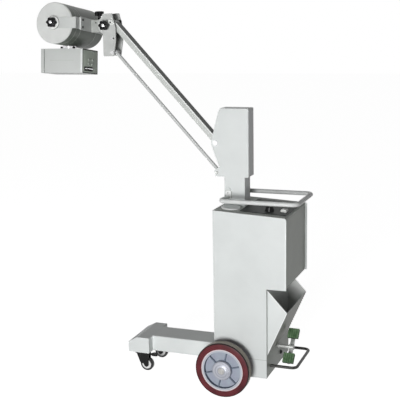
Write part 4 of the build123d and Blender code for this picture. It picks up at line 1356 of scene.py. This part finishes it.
@dataclass
class FootPedal(Assembly):
    """The guard and the brake pedal with its two pads."""

    pivot: Point = (-292.0, 0.0, 197.0)
    base_rear_x: float = -214.0
    shaft: tuple[Pair, ...] = (
        (0.0, 0.0), (14.0, 0.0), (14.0, 10.0), (9.0, 10.0),
        (9.0, 65.0), (15.0, 65.0), (15.0, 91.0), (0.0, 91.0))
    tilt: float = 45.0
    bar_w: float = 22.0
    bar_corner: float = 10.9
    bar_h: float = 10.0
    pad_w: float = 54.0
    pad_d: float = 60.0
    pad_h: float = 22.0
    pad_gap: float = 95.0
    pad_ribs: int = 5
    pad_edge: float = 2.0
    groove_top: float = 1.5
    groove_foot: float = 1.0
    groove_d: float = 3.0

    def __post_init__(self) -> None:
        """Lists the finishes."""
        self.coats = {"foot_guard": GUARD_ENAMEL}

    def pad_section(self) -> list[Pair]:
        """Section of a pad across its ribs, its foot on the bar."""
        half, top = self.pad_d / 2, self.pad_h
        pitch = self.pad_d / self.pad_ribs
        points = [(-half, 0.0), (half, 0.0), (half, top - self.pad_edge), (half - self.pad_edge, top)]
        for i in reversed(range(1, self.pad_ribs)):
            groove = -half + pitch * i
            points += [
                (groove + self.groove_top, top),
                (groove + self.groove_foot, top - self.groove_d),
                (groove - self.groove_foot, top - self.groove_d),
                (groove - self.groove_top, top),
            ]
        return points + [(-half + self.pad_edge, top), (-half, top - self.pad_edge)]

    def build(self) -> None:
        """The rocker's shaft and bar, and its two ribbed pads."""
        lean = math.radians(self.tilt)
        along = Vector((0.0, math.cos(lean), -math.sin(lean)))
        up = Vector((0.0, math.sin(lean), math.cos(lean)))
        pivot = Vector(self.pivot)
        seat = up * (self.bar_h / 2)
        shaft_place = placed((self.base_rear_x, 0.0, self.pivot[2]), REARWARDS, ACROSS)
        turned = revolved(self.shaft, 32)
        shaft = solid("pedal_shaft", turned, shaft_place, DULL_ZINC, Body.CHASSIS)
        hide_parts("pedal_lever")
        bar = plate(oblong(2 * self.pad_w + self.pad_gap, self.bar_w, self.bar_corner, 6), self.bar_h, 1.0)
        solid("pedal_bar", bar, placed(pivot - seat, up, along), DULL_ZINC, Body.CHASSIS)
        frame_of_pad = Matrix((up.cross(along), up, along)).transposed().to_4x4()
        shift = Matrix.Translation((0.0, 0.0, -self.pad_w / 2))
        for side in Side:
            spot = pivot + seat + along * (side.value * (self.pad_w + self.pad_gap) / 2)
            pad = plate(self.pad_section(), self.pad_w)
            place = Matrix.Translation(spot) @ frame_of_pad @ shift
            piece = solid(f"ribbed_pad_{side.tag()}", pad, place, GREEN_RUBBER, Body.CHASSIS)
            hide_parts(f"pedal_pad_{side.tag()}")


@dataclass
class Arm(Assembly):
    """The parallelogram arm."""

    root: Pair = (121.0, 1322.0)
    rod_root: Pair = (115.0, 1160.0)
    angle: float = 47.2
    length: float = 880.0
    height: float = 31.0
    width: float = 54.0
    rod_r: float = 8.8
    end: float = 18.0
    skin: float = 0.4
    skin_inset: float = 0.3
    strip_end: float = 15.0
    strip_inset: float = 0.5
    strip_t: float = 0.8
    edge_light_w: float = 5.0
    edge_light_drop: float = 3.2
    edge_light_t: float = 0.3
    sleeve_gap: float = 0.05
    sleeve_steps: int = 40

    def __post_init__(self) -> None:
        """Lists the finishes."""
        self.coats = {
            "arm_beam": EXTRUDED_BEAM,
            "arm_rod": ROD_TUBE,
            "beam_head_pin": WHITE_ABS,
            "rod_head_pin": BRIGHT_ZINC,
        }

    def build(self) -> None:
        """The dark strip on the beam's upper side, the paint on its two flanks with a painted highlight under
        each top edge, and the paint on the rod.
        """
        lean = math.radians(self.angle)
        along = Vector((math.cos(lean), 0.0, math.sin(lean)))
        up = Vector((-math.sin(lean), 0.0, math.cos(lean)))
        centre = Vector((self.root[0], 0.0, self.root[1])) + along * (self.length / 2)
        top = placed(centre + up * (self.height / 2), up, along)
        strip = ladder(self.length - 2 * self.strip_end, self.width - 2 * self.strip_inset, self.strip_t)
        # charcoal strip, darker in part as painted shade on the upward face
        solid("beam_strip", strip, top, CHARCOAL_COAT_AND_SHADE, Body.ARM)
        run = self.length - 2 * self.end
        for side in Side:
            out = Vector(side.out())
            flank = centre + out * (self.width / 2)
            skin = ladder(run, self.height - 2 * self.skin_inset, self.skin)
            place = placed(flank, out, along)
            solid(f"beam_flank_{side.tag()}", skin, place, EXTRUDED_BEAM, Body.ARM)
            # bright line under the flank's top edge: painted highlight
            middle = flank + out * self.skin + up * (self.height / 2 - self.edge_light_drop)
            edge_light = ladder(run, self.edge_light_w, self.edge_light_t)
            solid(f"beam_lip_{side.tag()}", edge_light, placed(middle, out, along), PALE_COAT_AND_HIGHLIGHT, Body.ARM)
        heights = [run * i / self.sleeve_steps for i in range(self.sleeve_steps + 1)]
        wall = [(self.rod_r + self.skin, h) for h in heights]
        wall += [(self.rod_r + self.sleeve_gap, h) for h in reversed(heights)]
        start = Vector((self.rod_root[0], 0.0, self.rod_root[1])) + along * self.end
        solid("rod_sleeve", revolved(wall, 32), placed(start, along, ACROSS), ROD_TUBE, Body.ROD)


@dataclass
class Head(Assembly):
    """Bracket, carrier, clamping knobs and yoke."""

    head: Pair = (718.9, 1967.7)
    pin_end: float = 53.0
    pin_socket: tuple[Pair, ...] = ((0.0, 0.3), (4.6, 0.3), (5.0, 0.0), (5.0, -0.4), (0.0, -0.4))
    cheek_out: float = 48.0
    cheek_in: float = 42.3
    bracket_screw: Pair = (716.0, 1883.0)
    screw_shadow_at: Pair = (704.0, 1881.0)
    screw_shadow: tuple[Pair, ...] = ((0.0, 0.6), (4.6, 0.6), (5.0, 0.0), (0.0, 0.0))
    bush_shadow_at: Pair = (705.0, 1971.0)
    bush_shadow: tuple[Pair, ...] = ((0.0, 0.4), (10.6, 0.4), (11.0, 0.0), (0.0, 0.0))
    carrier_out: float = 41.4
    carrier_screw: Pair = (812.0, 1967.0)
    plate_x: float = 842.1
    plate_screw_y: Pair = (-138.0, 138.0)
    plate_screw_z: Pair = (1930.0, 1968.0)
    tilt_grip: Point = (745.9, 67.6, 1952.0)
    roll_grip: Point = (809.5, 0.0, 2003.6)

    def __post_init__(self) -> None:
        """Lists the finishes."""
        self.coats = {
            "end_bracket": BRACKET_COAT_SHADED,
            "head_carrier": CAST_COAT_SHADED,
            "tilt_knob": BLACK_PHENOLIC,
            "roll_knob": BLACK_PHENOLIC,
            "yoke": HEAD_COAT_SHADED,
        }

    @staticmethod
    def on_both(at: Pair, half: float) -> Mesh:
        """Points on the two cheeks of a part, each facing out."""
        return spots_mesh([((at[0], side.value * half, at[1]), side.out()) for side in Side])

    def build(self) -> None:
        """Screws of the bracket, the carrier and the yoke's plate, the star grips and the painted shadows on
        the bracket's cheeks.
        """
        spots = self.on_both(self.bracket_screw, self.cheek_out)
        screws = ScrewHeads(title="BracketScrews", head_r=5.5, head_h=3.0)
        screws.run("bracket_screws", spots, BRIGHT_ZINC, Body.BRACKET, "steel")
        spots = self.on_both(self.carrier_screw, self.carrier_out)
        screws = ScrewHeads(title="CarrierScrews", head_r=4.0, head_h=2.0)
        screws.run("carrier_screws", spots, BLACK_ENAMEL, Body.CARRIER, "black_metal")
        rows = [(y, z) for y in self.plate_screw_y for z in self.plate_screw_z]
        plate_spots = [((self.plate_x, y, z), REARWARDS) for y, z in rows]
        screws = ScrewHeads(title="PlateScrews", head_r=6.5, head_h=3.0)
        screws.run("plate_screws", spots_mesh(plate_spots, ROLL), BLACK_ENAMEL, Body.YOKE, "black_metal")
        StarGrip().fit("tilt_crown", Body.CARRIER, placed(self.tilt_grip, ACROSS))
        StarGrip().fit("roll_crown", Body.CARRIER, placed(self.roll_grip, UPWARDS))
        # black disc on the far cheek's inner face: painted shadow of the bush
        bush_shadow_place = placed((self.bush_shadow_at[0], -self.cheek_in, self.bush_shadow_at[1]), ACROSS)
        solid("cheek_bush_shadow", revolved(self.bush_shadow, 32), bush_shadow_place, BLACK_RUBBER_AND_SHADOW, Body.BRACKET)
        # black disc beside the bracket screw: painted shadow of the screw
        screw_shadow_place = placed((self.screw_shadow_at[0], self.cheek_out, self.screw_shadow_at[1]), ACROSS)
        solid("cheek_screw_shadow", revolved(self.screw_shadow, 24), screw_shadow_place, BLACK_RUBBER_AND_SHADOW, Body.BRACKET)
        pin_place = placed((self.head[0], self.pin_end, self.head[1]), ACROSS)
        socket = revolved(self.pin_socket, 6)
        solid("pin_socket", socket, pin_place, BLACK_ENAMEL, Body.BRACKET)


@dataclass
class TubeHead(Assembly):
    """Tube housing with its caps, yoke knobs and port."""

    tube_x: float = 986.4
    roll_z: float = 1949.0
    radius: float = 111.3
    seams: tuple[float, ...] = (141.0, 92.0, -88.0)
    washer_y: float = 208.0
    washer: tuple[Pair, ...] = ((17.0, 0.0), (17.0, 0.8), (34.5, 0.8), (35.5, 0.0))
    grip_y: float = 211.6
    port_x: float = 999.4
    port_z: float = 1820.7
    port_r: float = 37.0
    port_rise: float = 11.0
    port_turns: tuple[float, ...] = (25.0, 155.0, 270.0)
    thumb_screw: tuple[Pair, ...] = (
        (0.0, 13.0), (4.6, 13.0), (5.4, 12.0), (5.4, 3.0), (2.5, 3.0), (2.5, 0.0), (0.0, 0.0))

    def __post_init__(self) -> None:
        """Lists the finishes."""
        self.coats = {
            # the housing's dark grey-green is painted shade
            "tube_housing": SHADED_ENAMEL,
            "tube_cap": CAP_COAT,
            "yoke_knob_left": BLACK_PHENOLIC,
            "yoke_knob_right": BLACK_PHENOLIC,
            "tube_port": BRIGHT_ZINC,
        }

    def build(self) -> None:
        """Seam hoops, knob washers and grips, and the port's thumb screws."""
        spots = [((self.tube_x, y, self.roll_z), ACROSS) for y in self.seams]
        Hoops(hoop_r=self.radius).run("tube_seams", spots_mesh(spots, ROLL), SEAM_ENAMEL, Body.TUBE, "cover")
        for side in Side:
            place = ROLL @ placed((self.tube_x, side.value * self.washer_y, self.roll_z), side.out())
            solid(f"yoke_washer_{side.tag()}", revolved(self.washer), place, WHITE_ABS, Body.TUBE)
            place = ROLL @ placed((self.tube_x, side.value * self.grip_y, self.roll_z), side.out())
            StarGrip().fit(f"yoke_crown_{side.tag()}", Body.TUBE, place)
        for i, degrees in enumerate(self.port_turns):
            turn = math.radians(degrees)
            way = Vector((math.cos(turn), math.sin(turn), 0.0))
            spot = Vector((self.port_x, 0.0, self.port_z + self.port_rise)) + way * self.port_r
            screw = revolved(self.thumb_screw, 18)
            place = ROLL @ placed(spot, way, UPWARDS)
            solid(f"port_screw_{i + 1}", screw, place, BLACK_PHENOLIC, Body.TUBE)


@dataclass
class Collimator(Assembly):
    """The collimator box with the controls on its rear face."""

    rear_x: float = 867.4
    half: float = 89.5
    bottom_z: float = 1686.1
    height: float = 134.0
    length: float = 264.0
    strip: float = 20.0
    groove: float = 2.0
    groove_inset: float = 1.5
    neck_r: float = 27.8
    neck_h: float = 14.0
    panel_t: float = 0.8
    border_inset: float = 0.5
    plate_inset: float = 6.5
    plate_lift: float = 0.7
    # across the panel and over the box's foot
    dials: tuple[Pair, ...] = ((20.0, 78.0), (-22.0, 78.0), (20.0, 54.0), (-22.0, 54.0))
    dial: tuple[Pair, ...] = ((0.0, 4.6), (5.5, 4.6), (6.6, 3.8), (7.6, 0.0), (0.0, 0.0))
    # across the panel and length of each lever
    levers: tuple[Pair, ...] = ((57.0, 24.0), (6.0, 52.0))
    lever_rise: float = 26.0
    lever_lift: float = 3.2
    slot_rise: float = 25.0
    slot_wider: float = 8.0
    slot_w: float = 24.0
    highlight_x: float = 8.0
    highlight_w: float = 9.0
    line_x: float = 130.0
    line_rise: float = 3.0
    line_length: float = 150.0

    def block(self, name: str, span: Pair, inset: float, finish: Finish) -> Piece:
        """One upright block of the housing.

        Args:
            name: Name of the piece.
            span: Distances of its two ends from the rear face.
            inset: How far it stands in from the housing's sides, top and bottom.
            finish: Its finish.

        Returns:
            The piece.
        """
        outline = oblong(span[1] - span[0], 2 * (self.half - inset), 4.0)
        middle = (self.rear_x + (span[0] + span[1]) / 2, 0.0, self.bottom_z + inset)
        made = plate(outline, self.height - 2 * inset, 1.0)
        return solid(name, made, ROLL @ Matrix.Translation(middle), finish, Body.LIMITER)

    def on_rear(self, y: float, rise: float, lift: float) -> Matrix:
        """Place on the rear face, y across it, rise over the box's foot and lift off the face."""
        return ROLL @ placed((self.rear_x - lift, y, self.bottom_z + rise), REARWARDS, ACROSS)

    def build(self) -> None:
        """Housing with its front strip and neck, and the small parts of its rear and its sides."""
        edge = self.length - self.strip
        body = self.block("light_box", (0.0, edge - self.groove), 0.0, HEAD_COAT_SHADED)
        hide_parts("collimator")
        self.block("front_strip", (edge, self.length), 0.0, HEAD_COAT_SHADED)
        dark = (edge - 2 * self.groove, edge + self.groove)
        self.block("strip_groove", dark, self.groove_inset, CHARCOAL_COAT_AND_SHADE)
        neck = revolved([(0.0, 0.0), (self.neck_r, 0.0), (self.neck_r, self.neck_h), (0.0, self.neck_h)], 40)
        top = ROLL @ Matrix.Translation((self.rear_x + self.length / 2, 0.0, self.bottom_z + self.height))
        solid("light_box_neck", neck, top, BRIGHT_ZINC, Body.LIMITER)
        self.rear_panel()
        for side in Side:
            self.side_lines(side)

    def rear_panel(self) -> None:
        """The dark border, the plate, four dials, and two bright levers on dark slots."""
        middle = self.height / 2
        size = [2 * (self.half - self.border_inset), self.height - 2 * self.border_inset]
        border = plate(oblong(*size, 3.0), self.panel_t, 0.3)
        border_place = self.on_rear(0.0, middle, 0.0)
        solid("rear_border", border, border_place, CHARCOAL_COAT_AND_SHADE, Body.LIMITER)
        size = [2 * (self.half - self.plate_inset), self.height - 2 * self.plate_inset]
        rear = plate(oblong(*size, 3.0), self.panel_t, 0.3)
        rear_place = self.on_rear(0.0, middle, self.plate_lift)
        solid("rear_plate", rear, rear_place, INSTRUMENT_PLATE, Body.LIMITER)
        lift = 2 * self.plate_lift
        for i, (y, rise) in enumerate(self.dials):
            dial = revolved(self.dial, 28)
            solid(f"rear_dial_{i + 1}", dial, self.on_rear(y, rise, lift), GREY_COAT_AND_SHADE, Body.LIMITER)
        for i, (y, wide) in enumerate(self.levers):
            slot = plate(oblong(wide + self.slot_wider, self.slot_w, 4.0), 2.0, 0.6)
            slot_place = self.on_rear(y, self.slot_rise, lift)
            solid(f"lever_slot_{i + 1}", slot, slot_place, BLACK_RUBBER_AND_SHADOW, Body.LIMITER)
            lever = plate(oblong(wide, 6.0, 3.0), 5.0, 1.5)
            lever_place = self.on_rear(y, self.lever_rise, self.lever_lift)
            solid(f"lever_{i + 1}", lever, lever_place, BRIGHT_ZINC, Body.LIMITER)

    def side_lines(self, side: Side) -> None:
        """The painted highlight at one side's rear edge and the fine line along it.

        Args:
            side: Which side of the box.
        """
        face_y = side.value * self.half
        middle_z = self.bottom_z + self.height / 2
        # bright strip at the rear edge: painted highlight
        highlight_strip = plate(oblong(self.highlight_w, self.height - 6.0, 2.0), 0.4, 0.2)
        place = ROLL @ placed((self.rear_x + self.highlight_x, face_y, middle_z), side.out())
        solid(f"box_hem_{side.tag()}", highlight_strip, place, PALE_COAT_AND_HIGHLIGHT, Body.LIMITER)
        line = plate(oblong(self.line_length, 1.2), 0.3)
        place = ROLL @ placed((self.rear_x + self.line_x, face_y, middle_z + self.line_rise), side.out())
        solid(f"side_line_{side.tag()}", line, place, INSTRUMENT_PLATE, Body.LIMITER)


@dataclass(frozen=True)
class Studio:
    """Floor, white background, one soft lamp and the camera at the photograph's angle."""

    eye: Point = (-1470.2, 4457.4, 1942.1)
    yaw: float = 0.3649
    pitch: float = 0.1961
    roll: float = -0.0182
    focal_px: float = 878.02
    frame_px: float = 400.0
    sensor_mm: float = 36.0
    far_m: float = 100.0
    sky: float = 0.065
    floor_glow: float = 0.93
    floor_half_m: float = 30.0
    lamp_at_m: Point = (-0.4, 7.0, 0.9)
    lamp_target_m: Point = (0.15, 0.2, 0.9)
    lamp_size_m: float = 2.0
    lamp_watts: float = 396.0

    def make(self) -> None:
        """Builds the whole stage."""
        bpy.context.scene.view_settings.view_transform = "Standard"
        self.world()
        self.floor()
        self.lamp()
        self.camera()

    @staticmethod
    def seen_rays(tree: Tree) -> Socket:
        """1 for the background as camera, reflection or clear glass shows it, 0 for light on the object."""
        rays = add_node(tree, "ShaderNodeLightPath")
        seen = add_node(tree, "ShaderNodeMath", {"operation": "MAXIMUM"}, {
            0: rays.outputs["Is Camera Ray"], 1: rays.outputs["Is Glossy Ray"]})
        either = add_node(tree, "ShaderNodeMath", {"operation": "MAXIMUM"}, {
            0: seen.outputs[0], 1: rays.outputs["Is Transmission Ray"]})
        return either.outputs[0]

    def world(self) -> None:
        """Even light on the object, and a white world for the camera and for reflections."""
        world = bpy.data.worlds.new("studio_world")
        world.use_nodes = True
        tree = world.node_tree
        tree.nodes.clear()
        white = linear("#FFFFFF")
        dim = add_node(tree, "ShaderNodeBackground", inputs={"Color": white, "Strength": self.sky})
        bright = add_node(tree, "ShaderNodeBackground", inputs={"Color": white, "Strength": 1.0})
        mixed = add_node(tree, "ShaderNodeMixShader", inputs={
            0: self.seen_rays(tree), 1: dim.outputs[0], 2: bright.outputs[0]})
        add_node(tree, "ShaderNodeOutputWorld", inputs={"Surface": mixed.outputs[0]})
        bpy.context.scene.world = world

    def floor(self) -> None:
        """A pale floor that keeps the object's shadow and runs into the white."""
        made = bmesh.new()
        bmesh.ops.create_grid(made, x_segments=1, y_segments=1, size=self.floor_half_m)
        mesh = bpy.data.meshes.new("floor")
        made.to_mesh(mesh)
        made.free()
        material = bpy.data.materials.new("painted_floor_white")
        material.use_nodes = True
        tree = material.node_tree
        tree.nodes.clear()
        glow = add_node(tree, "ShaderNodeMath", {"operation": "MULTIPLY"}, {
            0: self.seen_rays(tree), 1: self.floor_glow})
        coat = add_node(tree, "ShaderNodeBsdfPrincipled", inputs={
            "Base Color": linear("#EDEDED"), "Roughness": 0.9, "Specular IOR Level": 0.0,
            "Emission Color": linear("#FFFFFF"), "Emission Strength": glow.outputs[0]})
        add_node(tree, "ShaderNodeOutputMaterial", inputs={"Surface": coat.outputs["BSDF"]})
        mesh.materials.append(material)
        floor = bpy.data.objects.new("floor", mesh)
        bpy.context.scene.collection.objects.link(floor)

    def lamp(self) -> None:
        """Adds the square area lamp beside the camera."""
        light = bpy.data.lights.new("key_lamp", "AREA")
        light.size = self.lamp_size_m
        light.energy = self.lamp_watts
        lamp = bpy.data.objects.new("key_lamp", light)
        at = Vector(self.lamp_at_m)
        way = Vector(self.lamp_target_m) - at
        lamp.matrix_world = Matrix.Translation(at) @ way.to_track_quat("-Z", "Y").to_matrix().to_4x4()
        bpy.context.scene.collection.objects.link(lamp)

    def camera(self) -> None:
        """Puts the camera where the photograph was taken from."""
        cos_yaw, sin_yaw = math.cos(self.yaw), math.sin(self.yaw)
        cos_pitch, sin_pitch = math.cos(self.pitch), math.sin(self.pitch)
        ahead = Vector((sin_yaw * cos_pitch, -cos_yaw * cos_pitch, -sin_pitch))
        right = Vector((-cos_yaw, -sin_yaw, 0.0))
        above = right.cross(ahead)
        tilted = right * math.cos(self.roll) + above * math.sin(self.roll)
        above = above * math.cos(self.roll) - right * math.sin(self.roll)
        optics = bpy.data.cameras.new("photo_camera")
        optics.sensor_fit = "HORIZONTAL"
        optics.sensor_width = self.sensor_mm
        optics.lens = self.sensor_mm * self.focal_px / self.frame_px
        optics.clip_end = self.far_m
        camera = bpy.data.objects.new("photo_camera", optics)
        turned = Matrix((tilted, above, -ahead)).transposed().to_4x4()
        camera.matrix_world = Matrix.Translation(Vector(self.eye) * MM) @ turned
        bpy.context.scene.collection.objects.link(camera)
        bpy.context.scene.camera = camera


def main() -> None:
    """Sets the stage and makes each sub-assembly."""
    logging.basicConfig(level=logging.INFO, format="%(message)s")
    Studio().make()
    assemblies: list[Assembly] = [Cabinet(), Column()]
    assemblies += [MainWheel(side=side) for side in Side]
    assemblies += [Caster(side=side) for side in Side]
    assemblies += [FootPedal(), Arm(), Head(), TubeHead(), Collimator()]
    for assembly in assemblies:
        assembly.make()
        LOG.info("done %s", type(assembly).__name__)
    bpy.context.view_layer.update()


if __name__ == "__main__":
    main()
